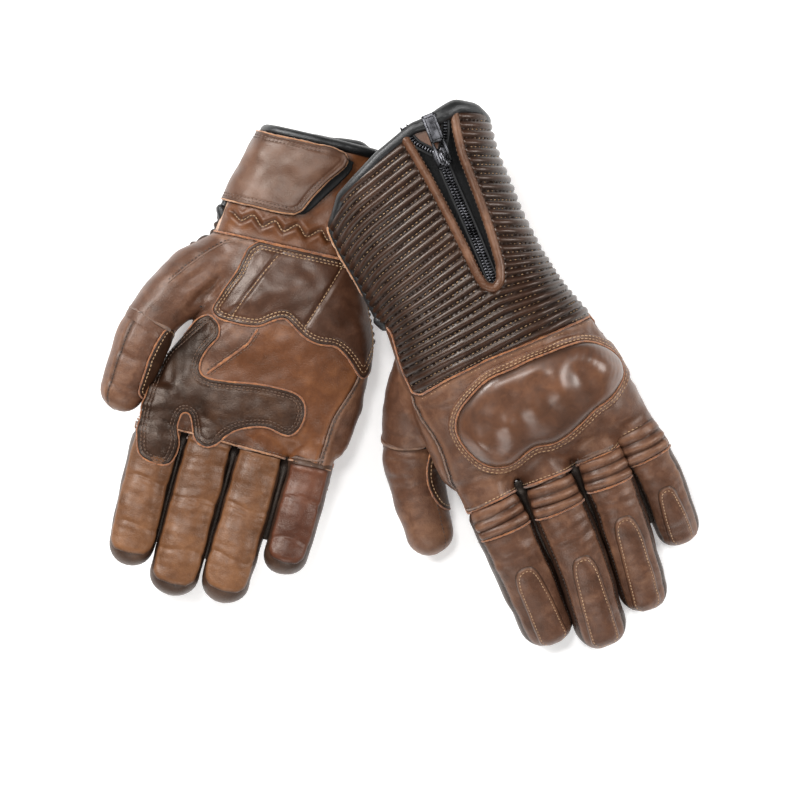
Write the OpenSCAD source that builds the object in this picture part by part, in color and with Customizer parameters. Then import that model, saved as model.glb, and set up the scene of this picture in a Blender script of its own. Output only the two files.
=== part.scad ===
// A pair of short-cuff motorcycle riding gloves, lying on a surface.
// The left glove lies with its back up, its cuff resting over the edge of the right glove, which lies palm up.
// In each glove's own axes +X runs from the thumb to the little finger, +Y from the fingers to the cuff, and
// heights are measured from the surface that the pair lies on. All sizes are in millimetres.

/* [Leather] */
// Thickness of the outer leather
leather_t = 1.2; // [0.8:0.1:1.4]
// Thickness of the textile lining
lining_t = 1.2; // [0.6:0.1:1.6]
// Thickness of the pads and patches sewn on the outside
pad_t = 1.4; // [0.8:0.1:2]
// Thickness of the padded ribs of the cuff
rib_t = 2.0; // [1.4:0.1:3]
// Gap left between two layers that are sewn together
layer_gap = 0.05; // [0.05:0.05:0.3]

/* [Knuckle guard] */
// Height of the moulded knuckle guard above the leather
guard_h = 7; // [4:0.5:8]
// Extra height of the bump over each knuckle
knuckle_h = 1; // [0:0.25:2]

/* [Fingers] */
// Largest bend at a finger's stretch panel, in degrees
finger_flex = 45; // [20:5:55]
// Largest outward swing of the thumb, in degrees
thumb_swing = 25; // [10:5:35]
// Length of the stretch panel on each finger
stretch_l = 14; // [8:1:16]
// Thickness of a stretch panel at the top of its pleats
pleat_h = 2; // [1:0.25:3]

/* [Zip] */
// Width of the closed chain of teeth
chain_w = 6; // [5:0.5:6.5]
// Height of the chain
chain_h = 2.4; // [1.8:0.1:2.6]
// Distance from one tooth to the next on the same tape
tooth_pitch = 2.0; // [1.6:0.1:2.6]
// Length of the closed chain below the slider
chain_l = 66; // [50:1:70]
// Length of the slider
slider_l = 11; // [9:0.5:13]
// Length of the pull tab
puller_l = 26; // [18:1:28]
// Radius of the pin that carries the pull tab
pin_r = 0.6; // [0.5:0.05:0.7]

/* [Wrist strap] */
// Thickness of the strap
strap_t = 1.8; // [1.2:0.1:2.4]
// Thickness of each half of the hook-and-loop closure
hook_t = 0.9; // [0.6:0.1:1.2]

/* [Layout] */
// Turn of the left glove about the vertical, in degrees
left_yaw = 21; // [15:1:27]
// Turn of the right glove about the vertical, in degrees
right_yaw = -15; // [-20:1:-10]
// Size of the right glove, which is less filled, against the left one
right_size = 0.97; // [0.95:0.01:1]

/* [Hidden] */
SIDES = ["left", "right"];
PIECES = ["back_panel", "palm_panel", "lining", "knuckle_guard", "stretch_panels", "ribbed_cuff", "palm_cuff",
    "cuff_binding", "zip_tapes", "zip_chain", "zip_welt", "zip_gusset", "heel_pad", "palm_patch", "strap_base",
    "loop_patch", "index_finger", "index_pad", "middle_finger", "middle_pad", "ring_finger", "ring_pad",
    "little_finger", "little_pad", "thumb", "thumb_patch", "zip_slider", "zip_puller", "wrist_strap",
    "hook_patch"];

LEFT = 0;
RIGHT = 1;
INDEX = 0;
MIDDLE = 1;
RING = 2;
LITTLE = 3;
THUMB = 4;
// Direction of the back of the hand: up on the left glove, down on the right one.
UP = [1, -1];
YAW = [left_yaw, right_yaw];
SIZE = [1, right_size];
// Where each glove's own origin, the root of the middle finger, lies.
PLACE = [[71.9, -43.04, 0], [-95.6, -25.54, 0]];
ring_n = 16;
digit_n = 10;
// Exponent of the rounded sections: 1 is an ellipse, and less is boxier.
squareness = 0.85;
far = 400;
slit = 0.15;

brown = [0.36, 0.23, 0.16];
dark_brown = [0.25, 0.16, 0.12];
tan_brown = [0.48, 0.30, 0.20];
black = [0.06, 0.06, 0.06];
gunmetal = [0.16, 0.16, 0.17];

// Sections of the hand and cuff: y, thumb-side x, far x, x of the ridge, centre height, half height on the
// back, half height on the palm.
BODY = [
    [[184, -53, 36, 8, 59.5, 25, 25], [150, -56, 34, 8, 59.5, 25, 25], [88, -50, 39, 8, 58, 26.5, 25],
     [56, -51, 50, 3, 51, 25, 23], [28, -52, 57, 2, 44.5, 21, 21], [8, -50, 58, 3, 42, 18, 18],
     [-6, -42, 53, 4, 39.5, 9, 10]],
    [[165, -13, 50, 18, 28, 22, 17], [140, -19, 50, 18, 28, 22, 17], [92, -26, 58, 18, 28, 22, 18],
     [60, -22, 70, 19, 28, 21.5, 19.5], [30, -32, 73, 20, 26.7, 19.5, 18], [8, -36, 71, 18, 27.7, 17, 16],
     [-6, -32, 65, 17, 29.5, 9, 10]]
];
// Digits, index to little finger and then the thumb. Each station is x, y, height, half width, half thickness,
// from inside the hand to the centre of the round tip.
DIGITS = [
    [[[-31, 16, 41, 14.5, 14], [-30.5, -24, 37, 14, 13], [-29, -50, 27, 13.8, 12.5], [-27.5, -76.5, 12.2, 13.3, 12]],
     [[-1, 18, 42, 14, 14], [0.3, -24, 38, 13, 13], [1.5, -55, 29, 12.6, 12.5], [-0.5, -88.5, 12.2, 12.2, 12]],
     [[27, 18, 41, 13.5, 13.5], [28.3, -21, 37, 12.2, 12.5], [28, -48, 29, 12, 12.2], [25.8, -79.5, 12, 11.8, 11.7]],
     [[47, 19.6, 38.9, 11.5, 12.5], [52.2, -15, 35, 11.2, 11.8], [54, -35, 26, 11, 11.3], [54.3, -55, 11.1, 10.8, 10.8]],
     [[-33, 76, 48, 13, 12], [-48, 56, 36, 14.5, 13.5], [-59.5, 33, 24.5, 14, 13.3], [-64, 10, 17, 13.3, 12.8],
      [-66, -13, 12.3, 12, 12]]],
    [[[-27, 14, 28.5, 14, 13.5], [-26.8, -24, 29.5, 12.9, 12.5], [-26.2, -48, 32, 12.4, 12],
      [-25.5, -69.5, 33, 11.8, 11.5]],
     [[0, 16, 28.5, 13.8, 13.5], [0.5, -24, 30, 13, 12.5], [0.5, -52, 32.5, 12.9, 12], [0.4, -78.5, 34, 12.6, 11.5]],
     [[27.5, 16, 28.5, 13.5, 13.5], [28, -22, 30, 12.9, 12.5], [27.8, -50, 32.5, 12.8, 12], [27.4, -75, 34, 12.5, 11.5]],
     [[52, 18, 28.5, 12.5, 12.5], [55, -15, 30, 11.8, 12], [55, -35, 32, 11.6, 11.5], [54.5, -54, 33, 11.3, 11]],
     [[-14, 92, 28, 13, 12], [-32, 72, 29, 15.5, 14.5], [-46, 44, 30.5, 14, 13.5], [-49.5, 24, 32, 12.8, 12.5],
      [-51, 7.5, 32, 11.6, 11.5]]]
];

// Outlines in each glove's own plan, [left glove, right glove]. The cuff's outline starts with its seam.
CUFF = [
    [[-80, 50], [-8, 57], [80, 64], [80, 160], [36, 166], [33, 175], [22, 182], [8, 184], [-8, 181], [-22, 174.5],
     [-47, 162], [-56, 152], [-80, 146]],
    [[-80, 50], [20, 57], [110, 62], [110, 157], [50, 160], [36, 164], [18, 165], [2, 164], [-14, 159], [-80, 150]]
];
PALM_END = [152, 158];
WRIST_Y = [100, 101];
// Opening of the zip, from the ridge and the peak of the rim, and the open V above the slider.
ZIP_HOLE = [[-15, 30], [-15, -9], [-9, -50], [-6, -84], [-2, -94], [3, -94], [7, -84], [9.5, -50], [9, -25],
    [13, -5], [13, 30]];
ZIP_V = [[0, -19], [-10, -8], [-10, 30], [7, 30], [7, -5]];
ZIP_AT = [[8, 184], [18, 165]];
slider_y = -22.5;
pin_y = -26.5;
// The knuckle guard: its two ends, and its lower and upper edges along x.
GUARD_X = [-34, 54];
GUARD_LOW = [[-34, 26], [-31, 12], [-26, 9], [-18, 6.5], [-5, 8], [14, 9], [28, 14], [43, 18], [51, 23], [54, 31]];
GUARD_HIGH = [[-34, 29], [-31, 38], [-27, 42], [-15, 48], [12, 50.5], [40, 49.5], [50, 43], [54, 34]];
GUARD_SHIFT = [0, 8];
HEEL = [[-1, 101], [-15, 60], [-9, 56], [10, 57], [22, 65], [35, 58], [55, 56], [90, 40], [90, 106], [38, 104]];
PATCH = [[-19, 54], [-29, 40], [-33, 23], [-33, 3], [-16, 3], [10, 3], [21, 7], [42, 7], [45, 14], [38, 28], [-11, 24],
    [-14.5, 36], [-9, 45], [-12, 53]];
PALM_SHIFT = [[-5, 0], [0, 0]];
// The strap's outline from its sewn end, and the line where it folds open.
STRAP = [[-30, 117], [12, 118], [17, 122], [21, 133], [32, 151], [30, 155], [26, 156.5], [-30, 154]];
HOOKS = [[-2, 120], [11, 121], [18, 133], [27, 149], [26, 153], [-2, 151]];
LOOPS = [[-8, 121], [20, 121], [38, 149], [37, 153], [-8, 153]];
STRAP_SHIFT = [[-33, -6], [0, 0]];
STRAP_FOLD = [-36, -10];
PAD_Y = [[-42, -48, -37, -29], [-40, -46, -43, -33]];
THUMB_PATCH = [
    [[-57, 25], [-61, 12], [-60, -4], [-52, -8], [-40, -8], [-40, 25]],
    [[-42, 35], [-46, 24], [-46, 10], [-41, 6], [-28, 6], [-28, 35]]
];

function spow(v, e) = sign(v) * pow(abs(v), e);
function unit(v) = v / norm(v);
function shifted(points, by) = [for (p = points) p + by];
function at(s) = [s[0], s[1], s[2]];
function hinge_of(k) = k == THUMB ? 2 : 1;
function heading(st, k) = unit(at(st[min(k + 1, len(st) - 1)]) - at(st[max(k - 1, 0)]));

// One round section of the hand, grown by t.
function body_ring(s, up, t) = [for (i = [0:ring_n - 1])
    let (a = 360 * i / ring_n, c = spow(cos(a), squareness), v = -spow(sin(a), squareness),
         wide = c > 0 ? s[2] - s[3] : s[3] - s[1], high = v * up > 0 ? s[5] : s[6])
    [s[3] + c * (wide + t), s[0], s[4] + v * (high + t)]];

// One round section of a digit: centre, direction, half width and half thickness.
function digit_ring(p, d, a, b) = let (across = unit([-d[1], d[0], 0]), over = cross(across, d))
    [for (i = [0:digit_n - 1]) p + across * a * cos(360 * i / digit_n) + over * b * sin(360 * i / digit_n)];

// Sections of a whole digit grown by t, with a round tip.
function digit_rings(st, t) = let (last = len(st) - 1, tip = st[last], d = heading(st, last)) concat(
    [for (k = [0:last]) digit_ring(at(st[k]), heading(st, k), st[k][3] + t, st[k][4] + t)],
    [for (turn = [30, 56, 76]) digit_ring(at(tip) + d * (tip[3] + t) * sin(turn), d,
        (tip[3] + t) * cos(turn), (tip[4] + t) * cos(turn))]);

// Height of the back above the glove's middle, in the plan position x, y.
function across_height(s, x) = let (wide = x > s[3] ? s[2] - s[3] : s[3] - s[1])
    pow(max(0, 1 - pow(min(1, abs(x - s[3]) / wide), 2 / squareness)), squareness / 2);
function back_height(g, x, y) = let (s = BODY[g], k = max([0, for (i = [0:len(s) - 2]) if (s[i][0] >= y) i]),
        f = (s[k][0] - y) / (s[k][0] - s[k + 1][0]), m = s[k] * (1 - f) + s[k + 1] * f)
    m[4] + UP[g] * m[5] * across_height(m, x);

// A closed solid through a list of sections.
module loft(rings) {
    n = len(rings[0]);
    m = len(rings);
    sides = [for (j = [0:m - 2]) for (i = [0:n - 1]) let (k = (i + 1) % n)
        each [[j * n + i, j * n + k, (j + 1) * n + k], [j * n + i, (j + 1) * n + k, (j + 1) * n + i]]];
    caps = [[for (i = [n - 1:-1:0]) i], [for (i = [0:n - 1]) (m - 1) * n + i]];
    polyhedron(points = [for (r = rings) each r], faces = concat(caps, sides));
}

// Joins what it holds into one mesh.
module fused() {
    resize([0, 0, 0]) union() children();
}

// Puts a piece of glove g where that glove lies.
module lay(g) {
    translate(PLACE[g]) rotate([0, 0, YAW[g]]) scale(SIZE[g]) children();
}

// The hand and cuff as one solid grown by t, running on past the rim.
module body_form(g, t) {
    s = BODY[g];
    rim = s[0];
    last = s[len(s) - 1];
    loft(concat(
        [body_ring(concat([rim[0] + 30], [for (i = [1:6]) rim[i]]), UP[g], t)],
        [for (k = [1:len(s) - 2]) body_ring(s[k], UP[g], t)],
        [body_ring(concat([last[0] - t], [for (i = [1:6]) last[i]]), UP[g], t)]));
}

module digit_form(g, k, t) {
    loft(digit_rings(DIGITS[g][k], t));
}

// The hand with all five digits as one solid grown by t.
module hand_form(g, t) {
    body_form(g, t);
    for (k = [0:THUMB]) digit_form(g, k, t);
}

// A layer that follows the whole hand, the cuff or one digit between two offsets.
module layer(g, inner, outer) {
    difference() {
        hand_form(g, outer);
        hand_form(g, inner);
    }
}

module cuff_layer(g, inner, outer) {
    difference() {
        body_form(g, outer);
        body_form(g, inner);
    }
}

module digit_layer(g, k, inner, outer) {
    difference() {
        digit_form(g, k, outer);
        digit_form(g, k, inner);
    }
}

// Extrudes an outline of y and height right across the glove.
module across(points) {
    translate([-far / 2, 0, 0]) rotate([90, 0, 90]) linear_extrude(far) polygon(points);
}

// The plan outline as a tall prism.
module prism(points) {
    translate([0, 0, -far / 2]) linear_extrude(far) polygon(points);
}

// Everything between two values of y.
module slab(from, to) {
    translate([-far / 2, from, -far / 2]) cube([far, to - from, far]);
}

// Everything on the back's side of the side seams (face 1) or on the palm's side (face -1).
module half(g, face) {
    side = face * UP[g];
    edge = [for (s = BODY[g]) [s[0], s[4] + 0.4]];
    across(concat([[far, BODY[g][0][4]]], edge, [[-far, edge[len(edge) - 1][1]], [-far, side * far],
        [far, side * far]]));
}

// The back's half of a digit, above its middle line.
module digit_back(g, k, rise) {
    st = DIGITS[g][k];
    end = at(st[len(st) - 1]) + heading(st, len(st) - 1) * 40;
    line = [for (p = concat([for (s = st) at(s)], [end])) [p[1], p[2] + UP[g] * rise]];
    across(concat([[far, line[0][1]]], line, [[end[1], UP[g] * far], [far, UP[g] * far]]));
}

// The space beyond a digit's hinge. Side 1 is what the digit fills, and side -1 is what the hand keeps clear
// of. The two leave a notch between them on the side that folds.
module beyond(g, k, side) {
    st = DIGITS[g][k];
    h = at(st[hinge_of(k)]);
    slope = tan((k == THUMB ? thumb_swing : finger_flex) / 2 + 1);
    region = [[side * slit, far], [side * slit, 0], [side * (slit + 60 * slope), -60], [2 * far, -60],
        [2 * far, far]];
    if (k == THUMB) {
        d = unit([heading(st, 2)[0], heading(st, 2)[1]]);
        translate([h[0], h[1], -far / 2]) linear_extrude(far)
            polygon([for (p = region) [p[0] * d[0] - p[1] * d[1], p[0] * d[1] + p[1] * d[0]]]);
    } else {
        translate([0, h[1], h[2]]) across([for (p = region) [-p[0], UP[g] * p[1]]]);
    }
}

// What it holds, without anything beyond the digits' hinges.
module hand_side(g) {
    difference() {
        children();
        for (k = [0:THUMB]) intersection() {
            digit_form(g, k, 2.5);
            beyond(g, k, -1);
        }
    }
}

module zip_prism(g, points) {
    prism(shifted(points, ZIP_AT[g]));
}

// The zip's own frame: y from the peak of the rim, z out of the back.
module on_zip(g) {
    s = BODY[g][1];
    translate([ZIP_AT[g][0], ZIP_AT[g][1], s[4] + UP[g] * s[5]]) mirror([0, 0, UP[g] > 0 ? 0 : 1]) children();
}

// A patch sewn on the hand inside a plan outline.
module sewn_on(g, points, face, inner, outer) {
    hand_side(g) intersection() {
        layer(g, inner, outer);
        half(g, face);
        prism(points);
    }
}

// Leather of the back, from the ribbed cuff to the finger hinges.
module back_panel(g) {
    color(brown) fused() hand_side(g) difference() {
        intersection() {
            layer(g, -leather_t, 0);
            half(g, 1);
            slab(-200, 80);
        }
        prism(CUFF[g]);
    }
}

// Leather of the palm, from the wrist seam to the finger hinges.
module palm_panel(g) {
    color(tan_brown) fused() hand_side(g) intersection() {
        layer(g, -leather_t, 0);
        half(g, -1);
        slab(-200, WRIST_Y[g]);
    }
}

// Textile lining of the cuff and hand, open at the rim and at the roots of the digits.
module lining(g) {
    top = -leather_t - layer_gap;
    color(black) fused() difference() {
        cuff_layer(g, top - lining_t, top);
        digit_form(g, THUMB, top);
        slab(-200, 26);
        difference() {
            intersection() {
                half(g, 1);
                slab(100, 300);
            }
            prism(CUFF[g]);
        }
        intersection() {
            half(g, -1);
            slab(PALM_END[g], 300);
        }
    }
}

// Moulded guard over the four knuckles: a grid over the back with a bump on each knuckle.
module knuckle_guard(g) {
    cols = 14;
    rows = 6;
    rise = [0.15, 0.7, 1, 1, 0.7, 0.15];
    share = [0, 0.08, 0.28, 0.72, 0.92, 1];
    place = [for (i = [0:cols - 1]) for (j = [0:rows - 1])
        let (x = GUARD_X[0] + (GUARD_X[1] - GUARD_X[0]) * i / (cols - 1),
             low = lookup(x, GUARD_LOW), high = lookup(x, GUARD_HIGH), y = low + (high - low) * share[j],
             ends = min(1, 0.15 + 0.85 * min(i, cols - 1 - i) / 1.5),
             bump = knuckle_h * (rise[j] > 0.9 ? 1 : 0) * (0.5 + 0.5 * cos(360 * (i - 2) / 3)))
        [x + GUARD_SHIFT[g], y, back_height(g, x + GUARD_SHIFT[g], y) + UP[g] * (min(rise[j], ends) * guard_h + bump)]];
    top = len(place);
    low = [for (p = place) p - [0, 0, UP[g] * (guard_h + 8)]];
    quads = [for (i = [0:cols - 2]) for (j = [0:rows - 2]) let (a = i * rows + j, b = a + 1, c = a + rows, d = c + 1)
        each [[a, b, d], [a, d, c], [top + a, top + d, top + b], [top + a, top + c, top + d]]];
    rim = concat([for (i = [0:cols - 1]) i * rows], [for (j = [1:rows - 1]) (cols - 1) * rows + j],
        [for (i = [cols - 2:-1:0]) i * rows + rows - 1], [for (j = [rows - 2:-1:1]) j]);
    walls = [for (i = [0:len(rim) - 1]) let (a = rim[i], b = rim[(i + 1) % len(rim)])
        each [[a, top + b, top + a], [a, b, top + b]]];
    faces = concat(quads, walls);
    turned = UP[g] > 0 ? faces : [for (f = faces) [f[0], f[2], f[1]]];
    color(dark_brown) fused() difference() {
        polyhedron(points = concat(place, low), faces = turned);
        hand_form(g, layer_gap);
        if (g == RIGHT) translate([-far / 2, -far / 2, -far]) cube(far);
    }
}

// Pleated stretch panels on the back of the four fingers, just before their hinges.
module stretch_panels(g) {
    folds = 3;
    color(dark_brown) fused() for (k = [INDEX:LITTLE]) {
        st = DIGITS[g][k];
        d = heading(st, 0);
        end = at(st[1]);
        difference() {
            intersection() {
                loft([for (i = [0:2 * folds]) let (back = 1.1 + (stretch_l - 1.1) * (1 - i / (2 * folds)),
                        f = back / norm(at(st[1]) - at(st[0])), grow = i % 2 == 0 ? 0.8 : pleat_h)
                    digit_ring(at(st[1]) * (1 - f) + at(st[0]) * f, d, st[1][3] * (1 - f) + st[0][3] * f + grow - 0.6,
                        st[1][4] * (1 - f) + st[0][4] * f + grow)]);
                digit_back(g, k, 4);
                translate([end[0], 0, 0]) translate([-st[1][3] + 1.5, -100, 0]) cube([2 * st[1][3] - 3, 200, 200]);
            }
            hand_form(g, layer_gap);
        }
    }
}

// Padded back of the cuff, around the zip.
module ribbed_cuff(g) {
    color(brown) fused() difference() {
        intersection() {
            cuff_layer(g, -leather_t, rib_t - leather_t);
            half(g, 1);
            prism(CUFF[g]);
        }
        zip_prism(g, ZIP_HOLE);
    }
}

// Leather of the palm's side of the cuff.
module palm_cuff(g) {
    color(tan_brown) fused() intersection() {
        cuff_layer(g, -leather_t, 0);
        half(g, -1);
        slab(WRIST_Y[g], PALM_END[g]);
    }
}

// Soft edging around the rim.
module cuff_binding(g) {
    wide = 3;
    color(black) fused() difference() {
        intersection() {
            cuff_layer(g, -leather_t, rib_t - leather_t);
            union() {
                intersection() {
                    half(g, 1);
                    translate([0, 0, -far / 2]) linear_extrude(far) intersection() {
                        difference() {
                            offset(delta = wide) polygon(CUFF[g]);
                            polygon(CUFF[g]);
                        }
                        translate([-70, 130]) square([130, 60]);
                    }
                }
                intersection() {
                    half(g, -1);
                    slab(PALM_END[g], PALM_END[g] + wide);
                }
            }
        }
        zip_prism(g, ZIP_HOLE);
    }
}

// Woven tapes on both sides of the chain, with a flat bed under it.
module zip_tapes(g) {
    color(black) fused() difference() {
        intersection() {
            cuff_layer(g, -leather_t, -0.2);
            half(g, 1);
            zip_prism(g, ZIP_HOLE);
            slab(0, ZIP_AT[g][1] - 1);
        }
        zip_prism(g, ZIP_V);
        on_zip(g) translate([-20, -110, -0.8]) cube([40, 120, 20]);
    }
}

// One side of the chain: a cord with n teeth that reach past the middle.
module comb(n, start) {
    half_w = chain_w / 2;
    tooth = tooth_pitch / 2 - 0.1;
    points = concat([[-half_w, 0], [-half_w, n * tooth_pitch], [0.9 - half_w, n * tooth_pitch]],
        [for (i = [n - 1:-1:0]) let (y = i * tooth_pitch + start)
            each [[0.9 - half_w, y + tooth], [0.9, y + tooth], [0.9, y], [0.9 - half_w, y]]],
        [[0.9 - half_w, 0]]);
    linear_extrude(chain_h) polygon(points);
}

// The closed chain, and its two open ends above the slider.
module zip_chain(g) {
    n = floor(chain_l / tooth_pitch);
    color(black) on_zip(g) translate([0, 0, -0.8]) {
        translate([0, slider_y - n * tooth_pitch, 0]) {
            comb(n, 0.05);
            mirror([1, 0, 0]) comb(n, tooth_pitch / 2 + 0.05);
        }
        translate([-2.5, slider_y + 8, 0]) rotate([0, 0, 45]) comb(6, 0.05);
        translate([3, slider_y + 7, 0]) rotate([0, 0, -22]) mirror([1, 0, 0]) comb(8, 0.05);
    }
}

// Leather piping around the opening of the zip.
module zip_welt(g) {
    color(tan_brown) fused() intersection() {
        cuff_layer(g, rib_t - leather_t + layer_gap, rib_t - leather_t + 1.5);
        half(g, 1);
        prism(CUFF[g]);
        translate([0, 0, -far / 2]) linear_extrude(far) difference() {
            offset(delta = 2.2) polygon(shifted(ZIP_HOLE, ZIP_AT[g]));
            polygon(shifted(ZIP_HOLE, ZIP_AT[g]));
        }
    }
}

// Leather behind the open end of the zip.
module zip_gusset(g) {
    color(brown) fused() difference() {
        intersection() {
            cuff_layer(g, -leather_t, -0.4);
            half(g, 1);
            slab(0, ZIP_AT[g][1] - 1);
            translate([0, 0, -far / 2]) linear_extrude(far) offset(delta = -0.1) polygon(shifted(ZIP_V, ZIP_AT[g]));
        }
        on_zip(g) translate([-20, -110, -0.8]) cube([40, 120, 20]);
    }
}

module heel_pad(g) {
    color(dark_brown) fused() sewn_on(g, shifted(HEEL, PALM_SHIFT[g]), -1, layer_gap, pad_t);
}

module palm_patch(g) {
    color(dark_brown) fused() sewn_on(g, shifted(PATCH, PALM_SHIFT[g]), -1, layer_gap, pad_t);
}

// The sewn end of the strap, up to its fold.
module strap_base(g) {
    color(tan_brown) fused() intersection() {
        cuff_layer(g, layer_gap, 2 * (hook_t + layer_gap) + strap_t);
        half(g, -1);
        prism(shifted(STRAP, STRAP_SHIFT[g]));
        translate([STRAP_FOLD[g] - 0.1 - far, -far / 2, -far / 2]) cube(far);
    }
}

module loop_patch(g) {
    color(black) fused() difference() {
        intersection() {
            cuff_layer(g, layer_gap, hook_t);
            half(g, -1);
            prism(shifted(LOOPS, STRAP_SHIFT[g]));
        }
        translate([STRAP_FOLD[g] - far, -far / 2, -far / 2]) cube(far);
    }
}

// Strap that closes the wrist, from its fold to its free end.
module wrist_strap(g) {
    color(tan_brown) fused() intersection() {
        cuff_layer(g, 2 * (hook_t + layer_gap), 2 * (hook_t + layer_gap) + strap_t);
        half(g, -1);
        prism(shifted(STRAP, STRAP_SHIFT[g]));
        translate([STRAP_FOLD[g], -far / 2, -far / 2]) cube(far);
    }
}

module hook_patch(g) {
    color(black) fused() intersection() {
        cuff_layer(g, hook_t + layer_gap, 2 * hook_t + layer_gap);
        half(g, -1);
        prism(shifted(HOOKS, STRAP_SHIFT[g]));
    }
}

// A finger or the thumb beyond its hinge.
module digit(g, k) {
    color(brown) fused() intersection() {
        digit_layer(g, k, -leather_t, 0);
        beyond(g, k, 1);
    }
}

// Pad stitched on the back of a finger's outer half.
module finger_pad(g, k) {
    st = DIGITS[g][k];
    tip = st[len(st) - 1];
    wide = tip[3] * 0.78;
    color(dark_brown) fused() intersection() {
        digit_layer(g, k, layer_gap, pad_t);
        digit_back(g, k, 1);
        translate([0, 0, -far / 2]) linear_extrude(far) hull() {
            translate([tip[0], tip[1]]) circle(wide, $fn = 20);
            translate([st[2][0] - wide, PAD_Y[g][k] - 5]) square([2 * wide, 5]);
        }
    }
}

// Patch on the inner side of the thumb.
module thumb_patch(g) {
    color(dark_brown) fused() intersection() {
        digit_layer(g, THUMB, layer_gap, pad_t);
        beyond(g, THUMB, 1);
        prism(THUMB_PATCH[g]);
    }
}

// Slider that rides over the chain, with two lugs and the pin of the pull tab.
module zip_slider(g) {
    wall = 1;
    gap = 0.1;
    half_w = chain_w / 2;
    top = chain_h - 0.8 + gap;
    pin_z = top + 0.8 + 1.35;
    color(gunmetal) on_zip(g) {
        translate([-half_w - gap - wall, slider_y - slider_l / 2, top])
            cube([2 * (half_w + gap + wall), slider_l, 0.8]);
        for (s = [-1, 1]) {
            translate([s > 0 ? half_w + gap : -half_w - gap - wall, slider_y - slider_l / 2, 0.1])
                cube([wall, slider_l, top - 0.1]);
            translate([s > 0 ? 2.7 : -3.9, pin_y - 1.3, top + 0.8]) cube([1.2, 2.6, 1.35]);
            translate([s > 0 ? 2.7 : -3.9, pin_y, pin_z]) rotate([0, 90, 0]) cylinder(r = 1.3, h = 1.2, $fn = 32);
        }
        translate([-3, pin_y, pin_z]) rotate([0, 90, 0]) cylinder(r = pin_r, h = 6, $fn = 32);
    }
}

// Pull tab lying over the slider, its free end at the rim.
module zip_puller(g) {
    pin_z = chain_h + 0.1 + 1.35;
    color(gunmetal) on_zip(g) translate([0, pin_y, pin_z]) difference() {
        union() {
            translate([-2.5, 0, 0]) rotate([0, 90, 0]) cylinder(r = 1.3, h = 5, $fn = 32);
            translate([-2.5, 0, -0.8]) cube([5, 4, 1.6]);
            translate([-3.6, 4, -0.8]) cube([7.2, puller_l - 4, 1.6]);
        }
        translate([-4, 0, 0]) rotate([0, 90, 0]) cylinder(r = pin_r + 0.05, h = 8, $fn = 32);
        translate([-1.8, puller_l - 6, -2]) cube([3.6, 3, 4]);
    }
}

module piece(g, name) {
    lay(g) {
        if (name == "back_panel") back_panel(g);
        if (name == "palm_panel") palm_panel(g);
        if (name == "lining") lining(g);
        if (name == "knuckle_guard") knuckle_guard(g);
        if (name == "stretch_panels") stretch_panels(g);
        if (name == "ribbed_cuff") ribbed_cuff(g);
        if (name == "palm_cuff") palm_cuff(g);
        if (name == "cuff_binding") cuff_binding(g);
        if (name == "zip_tapes") zip_tapes(g);
        if (name == "zip_chain") zip_chain(g);
        if (name == "zip_welt") zip_welt(g);
        if (name == "zip_gusset") zip_gusset(g);
        if (name == "heel_pad") heel_pad(g);
        if (name == "palm_patch") palm_patch(g);
        if (name == "strap_base") strap_base(g);
        if (name == "loop_patch") loop_patch(g);
        if (name == "index_finger") digit(g, INDEX);
        if (name == "index_pad") finger_pad(g, INDEX);
        if (name == "middle_finger") digit(g, MIDDLE);
        if (name == "middle_pad") finger_pad(g, MIDDLE);
        if (name == "ring_finger") digit(g, RING);
        if (name == "ring_pad") finger_pad(g, RING);
        if (name == "little_finger") digit(g, LITTLE);
        if (name == "little_pad") finger_pad(g, LITTLE);
        if (name == "thumb") digit(g, THUMB);
        if (name == "thumb_patch") thumb_patch(g);
        if (name == "zip_slider") zip_slider(g);
        if (name == "zip_puller") zip_puller(g);
        if (name == "wrist_strap") wrist_strap(g);
        if (name == "hook_patch") hook_patch(g);
    }
}

piece(LEFT, "back_panel");  // left_back_panel
piece(LEFT, "palm_panel");  // left_palm_panel
piece(LEFT, "lining");  // left_lining
piece(LEFT, "knuckle_guard");  // left_knuckle_guard
piece(LEFT, "stretch_panels");  // left_stretch_panels
piece(LEFT, "ribbed_cuff");  // left_ribbed_cuff
piece(LEFT, "palm_cuff");  // left_palm_cuff
piece(LEFT, "cuff_binding");  // left_cuff_binding
piece(LEFT, "zip_tapes");  // left_zip_tapes
piece(LEFT, "zip_chain");  // left_zip_chain
piece(LEFT, "zip_welt");  // left_zip_welt
piece(LEFT, "zip_gusset");  // left_zip_gusset
piece(LEFT, "heel_pad");  // left_heel_pad
piece(LEFT, "palm_patch");  // left_palm_patch
piece(LEFT, "strap_base");  // left_strap_base
piece(LEFT, "loop_patch");  // left_loop_patch
piece(LEFT, "index_finger");  // left_index_finger
piece(LEFT, "index_pad");  // left_index_pad
piece(LEFT, "middle_finger");  // left_middle_finger
piece(LEFT, "middle_pad");  // left_middle_pad
piece(LEFT, "ring_finger");  // left_ring_finger
piece(LEFT, "ring_pad");  // left_ring_pad
piece(LEFT, "little_finger");  // left_little_finger
piece(LEFT, "little_pad");  // left_little_pad
piece(LEFT, "thumb");  // left_thumb
piece(LEFT, "thumb_patch");  // left_thumb_patch
piece(LEFT, "zip_slider");  // left_zip_slider
piece(LEFT, "zip_puller");  // left_zip_puller
piece(LEFT, "wrist_strap");  // left_wrist_strap
piece(LEFT, "hook_patch");  // left_hook_patch
piece(RIGHT, "back_panel");  // right_back_panel
piece(RIGHT, "palm_panel");  // right_palm_panel
piece(RIGHT, "lining");  // right_lining
piece(RIGHT, "knuckle_guard");  // right_knuckle_guard
piece(RIGHT, "stretch_panels");  // right_stretch_panels
piece(RIGHT, "ribbed_cuff");  // right_ribbed_cuff
piece(RIGHT, "palm_cuff");  // right_palm_cuff
piece(RIGHT, "cuff_binding");  // right_cuff_binding
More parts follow.
